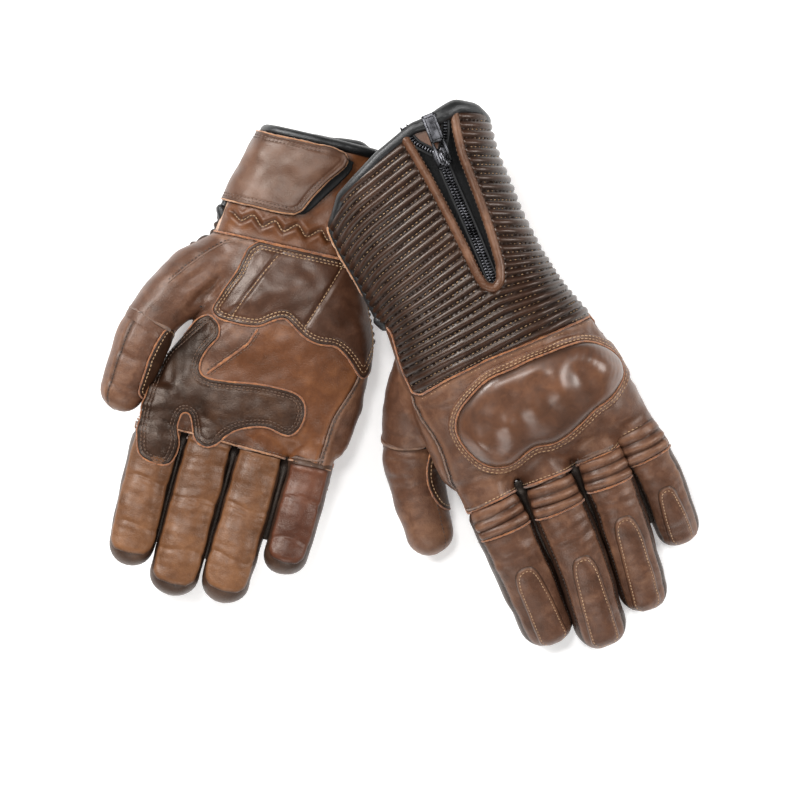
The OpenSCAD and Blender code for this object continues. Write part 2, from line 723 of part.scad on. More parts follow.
piece(RIGHT, "zip_tapes");  // right_zip_tapes
piece(RIGHT, "zip_chain");  // right_zip_chain
piece(RIGHT, "zip_welt");  // right_zip_welt
piece(RIGHT, "zip_gusset");  // right_zip_gusset
piece(RIGHT, "heel_pad");  // right_heel_pad
piece(RIGHT, "palm_patch");  // right_palm_patch
piece(RIGHT, "strap_base");  // right_strap_base
piece(RIGHT, "loop_patch");  // right_loop_patch
piece(RIGHT, "index_finger");  // right_index_finger
piece(RIGHT, "index_pad");  // right_index_pad
piece(RIGHT, "middle_finger");  // right_middle_finger
piece(RIGHT, "middle_pad");  // right_middle_pad
piece(RIGHT, "ring_finger");  // right_ring_finger
piece(RIGHT, "ring_pad");  // right_ring_pad
piece(RIGHT, "little_finger");  // right_little_finger
piece(RIGHT, "little_pad");  // right_little_pad
piece(RIGHT, "thumb");  // right_thumb
piece(RIGHT, "thumb_patch");  // right_thumb_patch
piece(RIGHT, "zip_slider");  // right_zip_slider
piece(RIGHT, "zip_puller");  // right_zip_puller
piece(RIGHT, "wrist_strap");  // right_wrist_strap
piece(RIGHT, "hook_patch");  // right_hook_patch
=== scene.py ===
"""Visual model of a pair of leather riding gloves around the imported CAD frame.

Every shape is worked out per glove in local millimetres, like part.scad: the origin is at the middle finger's
base, +X points away from the thumb and +Y towards the cuff. to_row() takes it into the row frame in metres.
"""
import math

import bpy
import numpy as np
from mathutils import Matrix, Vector
from mathutils.bvhtree import BVHTree


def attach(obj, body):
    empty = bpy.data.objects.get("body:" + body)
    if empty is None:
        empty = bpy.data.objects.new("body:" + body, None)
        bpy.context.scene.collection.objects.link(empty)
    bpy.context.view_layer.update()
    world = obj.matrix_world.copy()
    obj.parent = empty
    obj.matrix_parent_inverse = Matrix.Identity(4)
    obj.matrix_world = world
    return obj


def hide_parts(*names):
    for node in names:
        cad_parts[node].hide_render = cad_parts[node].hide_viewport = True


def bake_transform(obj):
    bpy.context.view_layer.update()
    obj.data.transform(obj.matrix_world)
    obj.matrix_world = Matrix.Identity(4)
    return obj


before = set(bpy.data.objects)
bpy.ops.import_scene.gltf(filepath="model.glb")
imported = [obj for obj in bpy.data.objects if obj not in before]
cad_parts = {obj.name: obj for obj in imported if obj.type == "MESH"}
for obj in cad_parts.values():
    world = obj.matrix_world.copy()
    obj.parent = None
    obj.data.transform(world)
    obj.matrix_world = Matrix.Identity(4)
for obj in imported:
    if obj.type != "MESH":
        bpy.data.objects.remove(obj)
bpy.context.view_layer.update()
MM = 0.001


# ---------------------------------------------------------------- small numeric tools

def smooth(low, high, x):
    t = np.clip((np.asarray(x, float) - low) / (high - low), 0, 1)
    return t * t * (3 - 2 * t)


def unit(v):
    return v / np.maximum(np.linalg.norm(v, axis=-1, keepdims=True), 1e-12)


def power(x, p):
    return np.sign(x) * np.abs(x) ** p


def wrapped(a):
    """An angle in radians, from -pi to pi."""
    return (a + math.pi) % (2 * math.pi) - math.pi


def run_along(p):
    """The length along a polyline at each of its points."""
    return np.concatenate([[0], np.cumsum(np.linalg.norm(np.diff(p, axis=0), axis=1))])


def curve(points, per=6, closed=False):
    """Catmull-Rom samples through points of any dimension."""
    p = np.asarray(points, float)
    n = len(p)
    out = []
    for i in range(n if closed else n - 1):
        if closed:
            a, b, c, d = p[i - 1], p[i], p[(i + 1) % n], p[(i + 2) % n]
        else:
            b, c = p[i], p[i + 1]
            a = p[i - 1] if i else 2 * b - c
            d = p[i + 2] if i + 2 < n else 2 * c - b
        for t in np.arange(per) / per:
            out.append(0.5 * (2 * b + (c - a) * t + (2 * a - 5 * b + 4 * c - d) * t * t
                              + (3 * b - a - 3 * c + d) * t ** 3))
    if not closed:
        out.append(p[-1])
    return np.array(out)


def hermite(x, rows):
    """Smooth values of a table [[x, a, b, ...], ...] with x rising or falling, held past its ends."""
    r = np.asarray(rows, float)
    r = r[np.argsort(r[:, 0])]
    xs, v = r[:, 0], r[:, 1:]
    slope = np.gradient(v, xs, axis=0)
    d = np.diff(v, axis=0) / np.diff(xs)[:, None]
    limit = 2.0 * np.minimum(np.abs(np.vstack([d[:1], d])), np.abs(np.vstack([d, d[-1:]])))
    slope = np.clip(slope, -limit, limit)
    x = np.clip(np.asarray(x, float), xs[0], xs[-1])
    i = np.clip(np.searchsorted(xs, x, side="right") - 1, 0, len(xs) - 2)
    h = (xs[i + 1] - xs[i])
    t = ((x - xs[i]) / h)[..., None]
    h = h[..., None]
    return ((2 * t ** 3 - 3 * t ** 2 + 1) * v[i] + (t ** 3 - 2 * t ** 2 + t) * h * slope[i]
            + (-2 * t ** 3 + 3 * t ** 2) * v[i + 1] + (t ** 3 - t ** 2) * h * slope[i + 1])


def waves(p, size, seed, count=14):
    """Smooth noise of about -1 to 1 with features of that size in mm."""
    rng = np.random.default_rng(seed)
    k = unit(rng.normal(size=(count, p.shape[1]))) * (2 * math.pi / size) * rng.uniform(0.6, 1.6, (count, 1))
    return np.sin(p @ k.T + rng.uniform(0, 2 * math.pi, count)).sum(1) / math.sqrt(count)


def segments_distance(p, poly, closed):
    """Distance of plan points to a polyline."""
    a = poly
    b = np.roll(poly, -1, axis=0)
    if not closed:
        a, b = a[:-1], b[:-1]
    best = np.full(len(p), 1e9)
    for s, e in zip(a, b):
        d = e - s
        t = np.clip(((p - s) @ d) / max(d @ d, 1e-12), 0, 1)
        best = np.minimum(best, ((p - s - t[:, None] * d) ** 2).sum(1))
    return np.sqrt(best)


def inside_distance(p, poly):
    """Signed distance in mm to a closed outline, negative inside."""
    poly = np.asarray(poly, float)
    d = segments_distance(p, poly, True)
    x, y = p[:, 0], p[:, 1]
    odd = np.zeros(len(p), bool)
    for (x1, y1), (x2, y2) in zip(poly, np.roll(poly, -1, axis=0)):
        if y1 != y2:
            odd ^= ((y1 > y) != (y2 > y)) & (x < (x2 - x1) * (y - y1) / (y2 - y1) + x1)
    return np.where(odd, -d, d)


def axis_coords(p, line):
    """Length along a plan polyline and the signed distance to its left, of each plan point."""
    line = np.asarray(line, float)
    best = np.full(len(p), 1e9)
    s_out, u_out = np.zeros(len(p)), np.zeros(len(p))
    run = 0.0
    for i, (a, b) in enumerate(zip(line[:-1], line[1:])):
        d = b - a
        length = math.hypot(*d)
        d = d / length
        t = (p - a) @ d
        low = -1e9 if i == 0 else 0
        high = 1e9 if i == len(line) - 2 else length
        tc = np.clip(t, low, high)
        off = p - a - tc[:, None] * d
        dist = (off ** 2).sum(1)
        near = dist < best
        best = np.where(near, dist, best)
        s_out = np.where(near, run + tc, s_out)
        u_out = np.where(near, d[0] * (p[:, 1] - a[1]) - d[1] * (p[:, 0] - a[0]), u_out)
        run += length
    return s_out, u_out


# ---------------------------------------------------------------- skins: meshes with fields on their points

def vertex_normals(v, f):
    n = np.cross(v[f[:, 1]] - v[f[:, 0]], v[f[:, 2]] - v[f[:, 0]])
    out = np.zeros_like(v)
    for k in range(3):
        np.add.at(out, f[:, k], n)
    return unit(out)


SNAP = 0.05


class Skin:
    """Points, triangles, normals and named fields, in local mm."""

    def __init__(self, v, f, n=None, a=None):
        self.v, self.f = np.asarray(v, float), np.asarray(f, int)
        self.n = vertex_normals(self.v, self.f) if n is None else n
        self.a = dict(a or {})

    def extended(self, pairs, t):
        """The same fields with points added along pairs of points."""
        def mix(x):
            w = t if x.ndim == 1 else t[:, None]
            return np.concatenate([x, x[pairs[:, 0]] * (1 - w) + x[pairs[:, 1]] * w])
        n = mix(self.n)
        return mix(self.v), unit(n), {k: mix(x) for k, x in self.a.items()}

    def only(self, faces):
        """The part of the skin with these triangles."""
        f = self.f[faces]
        used = np.unique(f)
        index = np.full(len(self.v), -1)
        index[used] = np.arange(len(used))
        return Skin(self.v[used], index[f], self.n[used], {k: x[used] for k, x in self.a.items()})

    def below(self, key, level):
        """The part of the skin whose triangles reach below a level, not cut."""
        return self.only((self.a[key][self.f] < level).any(1))

    def under(self, key, level=0.0):
        """The part whose triangles lie below a level, where the skin is already split."""
        return self.only(self.a[key][self.f].mean(1) < level)

    def inside(self, key, level=0.0, trim=()):
        """The part cut off along field = level. Lines of points are left this far inside its edge, for trim."""
        s = self.below(key, level + 0.5).split(key, level).under(key, level)
        for t in trim:
            s = s.split(key, level - t)
        return s

    def split(self, key, level=0.0):
        """The same skin with an edge along field = level. Points close to the line are taken as on it."""
        g = self.a[key] - level
        g = np.where(np.abs(g) < SNAP, 0.0, g)
        sign = np.sign(g).astype(int)
        f = self.f
        nxt = np.roll(f, -1, axis=1)
        cross = sign[f] * sign[nxt] < 0
        if not cross.any():
            return self
        pairs = np.sort(np.stack([f[cross], nxt[cross]], 1), axis=1)
        uniq, inv = np.unique(pairs, axis=0, return_inverse=True)
        inv = inv.reshape(-1)
        t = g[uniq[:, 0]] / (g[uniq[:, 0]] - g[uniq[:, 1]])
        v, n, a = self.extended(uniq, t)
        a[key] = np.concatenate([np.where(g == 0, level, self.a[key]), np.full(len(uniq), level)])
        ids = np.full(f.shape, -1)
        ids[cross] = len(self.v) + inv
        count = cross.sum(1)
        out = [f[count == 0]]
        for j in range(3):
            a0, b0, c0 = f[:, j], f[:, (j + 1) % 3], f[:, (j + 2) % 3]
            r = (count == 1) & cross[:, j]
            m = ids[:, j]
            out += [np.stack([a0, m, c0], 1)[r], np.stack([m, b0, c0], 1)[r]]
            r = (count == 2) & ~cross[:, j]
            m1, m2 = ids[:, (j + 1) % 3], ids[:, (j + 2) % 3]
            out += [np.stack([a0, b0, m1], 1)[r], np.stack([a0, m1, m2], 1)[r], np.stack([m2, m1, c0], 1)[r]]
        return Skin(v, np.concatenate(out), n, a)

    def finer(self):
        """Each triangle in four, with the new points lifted on to the smooth surface."""
        f = self.f
        e = np.sort(np.concatenate([f[:, [0, 1]], f[:, [1, 2]], f[:, [2, 0]]]), axis=1)
        uniq, inv = np.unique(e, axis=0, return_inverse=True)
        v, n, a = self.extended(uniq, np.full(len(uniq), 0.5))
        p1, p2, n1, n2 = self.v[uniq[:, 0]], self.v[uniq[:, 1]], self.n[uniq[:, 0]], self.n[uniq[:, 1]]
        q = (p1 + p2) / 2
        lift = -(((q - p1) * n1).sum(1)[:, None] * n1 + ((q - p2) * n2).sum(1)[:, None] * n2) / 2
        v[len(self.v):] = q + 0.75 * lift
        m0, m1, m2 = inv.reshape(3, -1) + len(self.v)
        nf = np.concatenate([np.stack([f[:, 0], m0, m2], 1), np.stack([m0, f[:, 1], m1], 1),
                             np.stack([m2, m1, f[:, 2]], 1), np.stack([m0, m1, m2], 1)])
        return Skin(v, nf, n, a)

    def lines(self, key, level=0.0, mask=None, step=0.9, least=4.0):
        """Lines on the surface where field = level, as (points, normals, closed), resampled evenly."""
        g = self.a[key] - level
        g = np.where(np.abs(g) < 1e-5, 1e-5, g)
        f = self.f
        pos = g > 0
        rows = f[(pos[f].sum(1) % 3) != 0]
        if not len(rows):
            return []
        nxt = np.roll(rows, -1, axis=1)
        cross = pos[rows] != pos[nxt]
        pairs = np.sort(np.stack([rows[cross], nxt[cross]], 1), axis=1)
        uniq, inv = np.unique(pairs, axis=0, return_inverse=True)
        inv = inv.reshape(-1, 2)
        t = (g[uniq[:, 0]] / (g[uniq[:, 0]] - g[uniq[:, 1]]))
        p = self.v[uniq[:, 0]] * (1 - t[:, None]) + self.v[uniq[:, 1]] * t[:, None]
        n = unit(self.n[uniq[:, 0]] * (1 - t[:, None]) + self.n[uniq[:, 1]] * t[:, None])
        ok = np.ones(len(p), bool)
        if mask is not None:
            m = mask.astype(float)
            ok = (m[uniq[:, 0]] * (1 - t) + m[uniq[:, 1]] * t) > 0.5
        near = {}
        for a, b in inv:
            if ok[a] and ok[b]:
                near.setdefault(int(a), []).append(int(b))
                near.setdefault(int(b), []).append(int(a))
        used, out = set(), []
        starts = sorted(k for k in near if len(near[k]) == 1) + sorted(k for k in near if len(near[k]) != 1)
        for s in starts:
            if s in used:
                continue
            path = [s]
            used.add(s)
            while True:
                more = [k for k in near[path[-1]] if k not in used]
                if not more:
                    break
                path.append(more[0])
                used.add(more[0])
            closed = len(path) > 5 and path[0] in near[path[-1]] and len(near[s]) != 1
            line = resampled(p[path], n[path], step, closed)
            if line and len(line[0]) * step > least:
                out.append(line)
        return sorted(out, key=lambda line: -len(line[0]))


def resampled(p, n, step, closed=False, ease=2):
    """A line of even steps along points, with its normals, eased that many times. None if it is too short."""
    p, n = np.asarray(p, float), np.asarray(n, float)
    if closed:
        p, n = np.vstack([p, p[:1]]), np.vstack([n, n[:1]])
    d = run_along(p)
    if len(p) < 2 or d[-1] < step * 2:
        return None
    at = np.linspace(0, d[-1], max(int(round(d[-1] / step)), 3) + 1)
    if closed:
        at = at[:-1]
    p = np.stack([np.interp(at, d, p[:, k]) for k in range(3)], 1)
    n = np.stack([np.interp(at, d, n[:, k]) for k in range(3)], 1)
    for _ in range(ease):
        if closed:
            p = (np.roll(p, 1, 0) + 2 * p + np.roll(p, -1, 0)) / 4
            n = (np.roll(n, 1, 0) + 2 * n + np.roll(n, -1, 0)) / 4
        elif len(p) > 2:
            p[1:-1] = (p[:-2] + 2 * p[1:-1] + p[2:]) / 4
            n[1:-1] = (n[:-2] + 2 * n[1:-1] + n[2:]) / 4
    return p, unit(n), int(closed)


# ---------------------------------------------------------------- meshes in local mm: points, faces, materials

class Bits:
    """Gathers small meshes into one piece."""

    def __init__(self):
        self.v, self.f, self.m, self.count = [], [], [], 0

    def add(self, v, f, mat=0):
        self.v.append(v)
        self.f += [tuple(i + self.count for i in face) for face in f]
        self.m += [mat] * len(f)
        self.count += len(v)

    def get(self):
        return np.concatenate(self.v), self.f, self.m


def along(line):
    """Unit vectors along, out of and across a surface line at each of its points."""
    p, n, closed = line
    if closed:
        t = unit(np.roll(p, -1, 0) - np.roll(p, 1, 0))
    else:
        t = unit(np.gradient(p, axis=0))
    n = unit(n - (n * t).sum(1)[:, None] * t)
    return t, n, np.cross(t, n)


def ring_quads(rows, ring, closed=False):
    """Faces between rings of points, the last joined to the first if closed, or else with a cap at each end."""
    f = []
    for r in range(rows if closed else rows - 1):
        low, high = r * ring, (r + 1) % rows * ring
        f += [(low + j, low + (j + 1) % ring, high + (j + 1) % ring, high + j) for j in range(ring)]
    return f if closed else f + [tuple(range(ring))[::-1], tuple(range((rows - 1) * ring, rows * ring))]


def add_tube(bits, line, wide, high, lift=0.0, side=0.0, ring=8, rough=0.0, seed=0, mat=0):
    """A cord of elliptical section along a surface line. rough makes its edge ragged."""
    p, _, closed = line
    _, n, b = along(line)
    k = len(p)
    rng = np.random.default_rng(seed)
    wide = wide * (1 + rough * rng.uniform(-1, 1, k))
    high = high * (1 + rough * rng.uniform(-1, 1, k))
    if not closed:
        end = np.minimum(np.arange(k), np.arange(k)[::-1])
        taper = np.sqrt(np.clip((end + 0.35) / 1.6, 0.05, 1))
        wide, high = wide * taper, high * taper
    a = np.arange(ring) / ring * 2 * math.pi
    shift = side + rough * 0.25 * rng.uniform(-1, 1, k) * wide
    v = (p[:, None] + b[:, None] * (np.cos(a) * wide[:, None] + shift[:, None])[..., None]
         + n[:, None] * (np.sin(a) * high[:, None] + lift)[..., None])
    bits.add(v.reshape(-1, 3), ring_quads(k, ring, closed), mat)


def stitch_mesh():
    """One stitch: a short cord with round ends, along X, up Z."""
    ring = 6
    rows = [(-0.5, 0.25), (-0.36, 0.8), (0.0, 1.0), (0.36, 0.8), (0.5, 0.25)]
    v = [(x, r * math.cos(2 * math.pi * j / ring), r * math.sin(2 * math.pi * j / ring))
         for x, r in rows for j in range(ring)]
    return np.array(v), ring_quads(len(rows), ring)


STITCH_V, STITCH_F = stitch_mesh()


def stitches(bits, line, pitch, long, thick, lift, side=0.0, mat=0, seed=1):
    """Stitches along a line, sitting half in the surface."""
    p, n, closed = line
    line = resampled(p, n, pitch, bool(closed), ease=0)
    if not line:
        return
    p = line[0]
    t, n, b = along(line)
    rng = np.random.default_rng(seed + len(p))
    keep = slice(0, None) if closed else slice(1, -1)
    p, t, n, b = p[keep], t[keep], n[keep], b[keep]
    if not len(p):
        return
    ang = rng.normal(0, 0.07, len(p))
    t2 = t * np.cos(ang)[:, None] + b * np.sin(ang)[:, None]
    b2 = b * np.cos(ang)[:, None] - t * np.sin(ang)[:, None]
    size = rng.uniform(0.88, 1.1, len(p))[:, None, None]
    v = (p[:, None] + b[:, None] * side + n[:, None] * lift
         + size * (t2[:, None] * STITCH_V[None, :, 0:1] * long + b2[:, None] * STITCH_V[None, :, 1:2] * thick
                   + n[:, None] * STITCH_V[None, :, 2:3] * thick))
    k = len(STITCH_V)
    bits.add(v.reshape(-1, 3), [[q + i * k for q in face] for i in range(len(p)) for face in STITCH_F], mat)


def shell(sk, top, bottom, wall=1):
    """A closed sheet between two offsets of a skin: points, faces and materials, 0 on top and wall elsewhere."""
    v = np.vstack([sk.v + sk.n * np.broadcast_to(top, (len(sk.v),))[:, None],
                   sk.v + sk.n * np.broadcast_to(bottom, (len(sk.v),))[:, None]])
    k = len(sk.v)
    f = sk.f
    e = np.concatenate([f[:, [0, 1]], f[:, [1, 2]], f[:, [2, 0]]])
    code = e[:, 0] * (k + 1) + e[:, 1]
    back = e[:, 1] * (k + 1) + e[:, 0]
    rim = e[~np.isin(code, back)]
    walls = np.concatenate([np.stack([rim[:, 1], rim[:, 0], rim[:, 0] + k], 1),
                            np.stack([rim[:, 1], rim[:, 0] + k, rim[:, 1] + k], 1)])
    faces = np.concatenate([f, f[:, ::-1] + k, walls])
    mats = np.concatenate([np.zeros(len(f), int), np.full(len(f) + len(walls), wall)])
    return v, faces, mats


def on_top(x):
    """A field of a shell: x on its upper points, 0 on the lower ones."""
    return np.concatenate([x, x * 0])


def edge_profile(d, full, edge, radius):
    """Height of a leather edge: edge at the cut, full beyond radius, round between."""
    t = np.clip(d / radius, 0, 1)
    return edge + (full - edge) * np.sqrt(1 - (1 - t) ** 2)


# ---------------------------------------------------------------- sizes, the same tables as the CAD's

LEFT, RIGHT = 0, 1
SIDE = ["left", "right"]
UP = [1, -1]
YAW = [21.0, -15.0]
SIZE = [1.0, 0.97]
PLACE = [(71.9, -43.04), (-95.6, -25.54)]
FINGERS = ["index", "middle", "ring", "little"]

# y, thumb-side x, far x, x of the ridge, centre height, half height on the back, half height on the palm
BODY = [
    [[184, -53, 36, 8, 59.5, 25, 25], [150, -56, 34, 8, 59.5, 25, 25], [88, -50, 39, 8, 58, 26.5, 25],
     [56, -51, 50, 3, 51, 25, 23], [28, -52, 57, 2, 44.5, 21, 21], [8, -50, 58, 3, 42, 18, 18],
     [-3, -42, 53, 4, 39.5, 7, 8]],
    [[165, -13, 50, 18, 28, 22, 17], [140, -19, 50, 18, 28, 22, 17], [92, -26, 58, 18, 28, 22, 18],
     [60, -22, 70, 19, 28, 21.5, 19.5], [30, -32, 73, 20, 26.7, 19.5, 18], [8, -36, 71, 18, 27.7, 17, 16],
     [-3, -32, 65, 17, 29.5, 7, 8]]]
# x, y, height, half width, half thickness, to the centre of the round tip
DIGITS = [
    [[[-31, 16, 41, 14.5, 14], [-30.5, -24, 37, 14, 13], [-29, -50, 27, 13.8, 12.5],
      [-27.5, -76.5, 12.2, 13.3, 12]],
     [[-1, 18, 42, 14, 14], [0.3, -24, 38, 13, 13], [1.5, -55, 29, 12.6, 12.5], [-0.5, -88.5, 12.2, 12.2, 12]],
     [[27, 18, 41, 13.5, 13.5], [28.3, -21, 37, 12.2, 12.5], [28, -48, 29, 12, 12.2],
      [25.8, -79.5, 12, 11.8, 11.7]],
     [[47, 19.6, 38.9, 11.5, 12.5], [52.2, -15, 35, 11.2, 11.8], [54, -35, 26, 11, 11.3],
      [54.3, -55, 11.1, 10.8, 10.8]],
     [[-33, 76, 48, 13, 12], [-48, 56, 36, 14.5, 13.5], [-59.5, 33, 24.5, 14, 13.3], [-64, 10, 17, 13.3, 12.8],
      [-66, -13, 12.3, 12, 12]]],
    [[[-27, 14, 28.5, 14, 13.5], [-26.8, -24, 29.5, 12.9, 12.5], [-26.2, -48, 32, 12.4, 12],
      [-25.5, -69.5, 33, 11.8, 11.5]],
     [[0, 16, 28.5, 13.8, 13.5], [0.5, -24, 30, 13, 12.5], [0.5, -52, 32.5, 12.9, 12],
      [0.4, -78.5, 34, 12.6, 11.5]],
     [[27.5, 16, 28.5, 13.5, 13.5], [28, -22, 30, 12.9, 12.5], [27.8, -50, 32.5, 12.8, 12],
      [27.4, -75, 34, 12.5, 11.5]],
     [[52, 18, 28.5, 12.5, 12.5], [55, -15, 30, 11.8, 12], [55, -35, 32, 11.6, 11.5], [54.5, -54, 33, 11.3, 11]],
     [[-14, 92, 28, 13, 12], [-32, 72, 29, 15.5, 14.5], [-46, 44, 30.5, 14, 13.5], [-49.5, 24, 32, 12.8, 12.5],
      [-51, 7.5, 32, 11.6, 11.5]]]]
THUMB = 4
# how far a finger's visible tube is moved and widened in plan, so that the soft fingers lie side by side
PLUMP = [[(0.9, 1.0), (-0.5, 1.3), (0.1, 0.9), (-0.3, 1.0), (0, 0.4)],
         [(0.1, 0.3), (0, 0.4), (0, 0.4), (0, 0.4), (0, 0.4)]]
SQUARE = 0.85          # how square the sections are: 1 is an ellipse
VOXEL = 1.35           # of the remesh that fuses the hand with its digits' roots
LEATHER = 1.2          # thickness
RIM_Y = [184.0, 165.0]
WRIST_Y = 101.0
RIB_PITCH = 4.75

# plan outlines on the back, as on the left glove
DORSAL_EDGE = [[-100, -37.5], [-80, -37.5], [-51, -43], [-27, -45], [0, -47], [25, -46], [51, -50], [66, -50],
               [86, -47], [105, -54], [130, -58], [185, -60]]
PALM_EDGE = [[-100, 54], [-56, 54], [-46, 58], [-13, 59], [16, 60], [44, 67], [71, 66], [100, 50], [165, 46]]
GUARD = [(-34, 32), (-30, 38.5), (-22, 44), (-10, 49), (2, 49.5), (16, 50.5), (30, 50.5), (41, 49), (49, 43),
         (53.5, 35), (53, 27), (48, 21.5), (42, 18), (34, 16), (26, 12.5), (16, 9), (8, 8), (0, 9.5), (-6, 8.5),
         (-14, 6), (-22, 7), (-28, 11), (-32, 18), (-34, 25)]
ZIP_EDGE = [(-15, 16), (-15, -9), (-11.5, -30), (-9, -50), (-7, -70), (-6, -84), (-4.5, -91), (0, -94.5), (4.5, -92),
            (7.5, -84), (9, -66), (9.5, -50), (9.5, -36), (9.5, -25), (11, -14), (13, -5), (14, 16)]
ZIP_AT = [(8, 184), (18, 165)]
# plan outlines on the palm, as on the right glove
HEEL = [(-1, 100.5), (38, 103.5), (62, 99), (72, 80), (72, 58), (69, 45), (60, 53), (52, 57.5), (43, 56.5), (35, 58),
        (28, 62), (22, 65), (16, 62), (10, 57.5), (0, 56), (-9, 56), (-14, 57.5), (-16, 61), (-13, 70), (-8, 83)]
PATCH = [(-19, 55), (-24, 47), (-31, 37), (-34.5, 28), (-37, 16), (-37.5, 0), (-36, -12), (-33, -23), (-25, -26),
         (-18, -24.5), (-16.5, -14), (-18.5, -4), (-17.5, 3), (-14, 4), (-11, 0), (-7, -8), (-1, -11), (4, -8.5),
         (8, -2), (13, 2.5), (21, 6), (29, 7.5), (36, 6), (41, 6.5), (44.5, 12), (45, 20), (42, 26), (36, 28.5),
         (27, 28.5), (18, 28), (4, 25.5), (-8, 24), (-13.5, 26), (-15, 32), (-12.5, 40), (-9, 47), (-11, 53),
         (-15, 56)]
ORANGE = [(12, 62), (7, 47), (0, 38.5), (-8, 29), (-13, 22), (-6, 14), (20, 0), (34, -6), (70, -6), (76, 20),
          (76, 60)]
STRAP = [(-30, 117), (-10, 117.3), (8, 117.6), (13, 118.5), (16.5, 122), (19, 128), (21.5, 133.5), (26, 142),
         (31.5, 149.5), (32.5, 154), (29.5, 157), (24, 157.5), (0, 156.8), (-30, 155)]
HOOK = [(-6, 119.5), (14, 119.8), (19, 122.5), (24, 130), (34, 147), (34.5, 151.5), (31, 154), (-6, 154)]
STRAP_SHIFT = [(-33.0, -6.0), (0.0, 0.0)]
STRAP_FOLD = [-36.0, -10.0]
# the fingers: y where the pad starts, length of the pleats, and half the pleats' width round the back
PAD_TOP = [[-42, -48, -37, -29], [-40, -46, -43, -33]]
PLEATS = 14.0
DORSAL_HALF = 14.0
MEAN_RADIUS = 13.0     # of a digit, to turn angles round it into mm
FINGER_SEAM = 58.0     # degrees from the middle of a finger's back to its seams
THUMB_SEAM = 238.0     # degrees round the thumb to its seam
FINGER_BEND = 11.5     # half the length over which a finger's leather bends, and the thumb's
THUMB_BEND = 12.0


def back_plan(g, points):
    """A plan outline of the back, on that glove."""
    p = np.array(points, float)
    if g == RIGHT:
        tall = (RIM_Y[1] - 100) / (RIM_Y[0] - 100)
        p[:, 1] = np.where(p[:, 1] > 100, 100 + (p[:, 1] - 100) * tall, p[:, 1])
        p[:, 0] += 8 + 5 * smooth(60, 110, p[:, 1])
    return p


def palm_plan(g, points):
    """A plan outline of the palm, on that glove."""
    p = np.array(points, float)
    if g == LEFT:
        p[:, 0] -= 5 + 6 * smooth(60, 110, p[:, 1])
    return p


def to_row(g, v):
    """Local mm to the row frame in metres."""
    c, s = math.cos(math.radians(YAW[g])), math.sin(math.radians(YAW[g]))
    v = np.asarray(v, float) * SIZE[g]
    return np.stack([PLACE[g][0] + c * v[..., 0] - s * v[..., 1], PLACE[g][1] + s * v[..., 0] + c * v[..., 1],
                     v[..., 2]], -1) * MM


# ---------------------------------------------------------------- base forms

def grid_faces(rows, ring):
    """Triangles between rings of points, with the two ends closed."""
    i = np.arange(rows - 1)[:, None] * ring
    j = np.arange(ring)[None]
    q = np.stack([i + j, i + (j + 1) % ring, i + ring + (j + 1) % ring, i + ring + j], -1).reshape(-1, 4)
    f = np.concatenate([q[:, [0, 1, 2]], q[:, [0, 2, 3]]])
    a = np.arange(1, ring - 1)
    return np.concatenate([f, np.stack([np.zeros_like(a), a + 1, a], 1),
                           np.stack([np.zeros_like(a), a, a + 1], 1) + (rows - 1) * ring])


def outward(v, f):
    """Faces turned so that the closed mesh holds a positive volume."""
    t = v[f]
    volume = (t[:, 0] * np.cross(t[:, 1], t[:, 2])).sum()
    return f if volume > 0 else f[:, ::-1]


def body_form(g, ring=80):
    """The hand and cuff as one closed mesh."""
    ys = np.arange(-3, RIM_Y[g] + 24, 3.0)
    t = hermite(ys, BODY[g])
    a = np.arange(ring) / ring * 2 * math.pi
    c, s = power(np.cos(a), SQUARE), power(np.sin(a), SQUARE)
    xl, xr, xp, zc, hb, hp = (t[:, k:k + 1] for k in range(6))
    x = np.where(c > 0, xp + c * (xr - xp), xp + c * (xp - xl))
    z = zc + UP[g] * np.where(s > 0, s * hb, s * hp)
    v = np.stack([x, np.broadcast_to(ys[:, None], x.shape), z], -1).reshape(-1, 3)
    f = grid_faces(len(ys), ring)
    return v, outward(v, f)


def digit_path(g, k, step=2.0, upto=None):
    """Lengths along a digit's plan axis and its sizes there, as in DIGITS."""
    st = np.array(DIGITS[g][k], float)
    d = run_along(st[:, :2])
    last = d[-1] if upto is None else upto
    s = np.linspace(0, last, max(int(last / step), 3) + 1)
    return s, hermite(s, np.column_stack([d, st]))


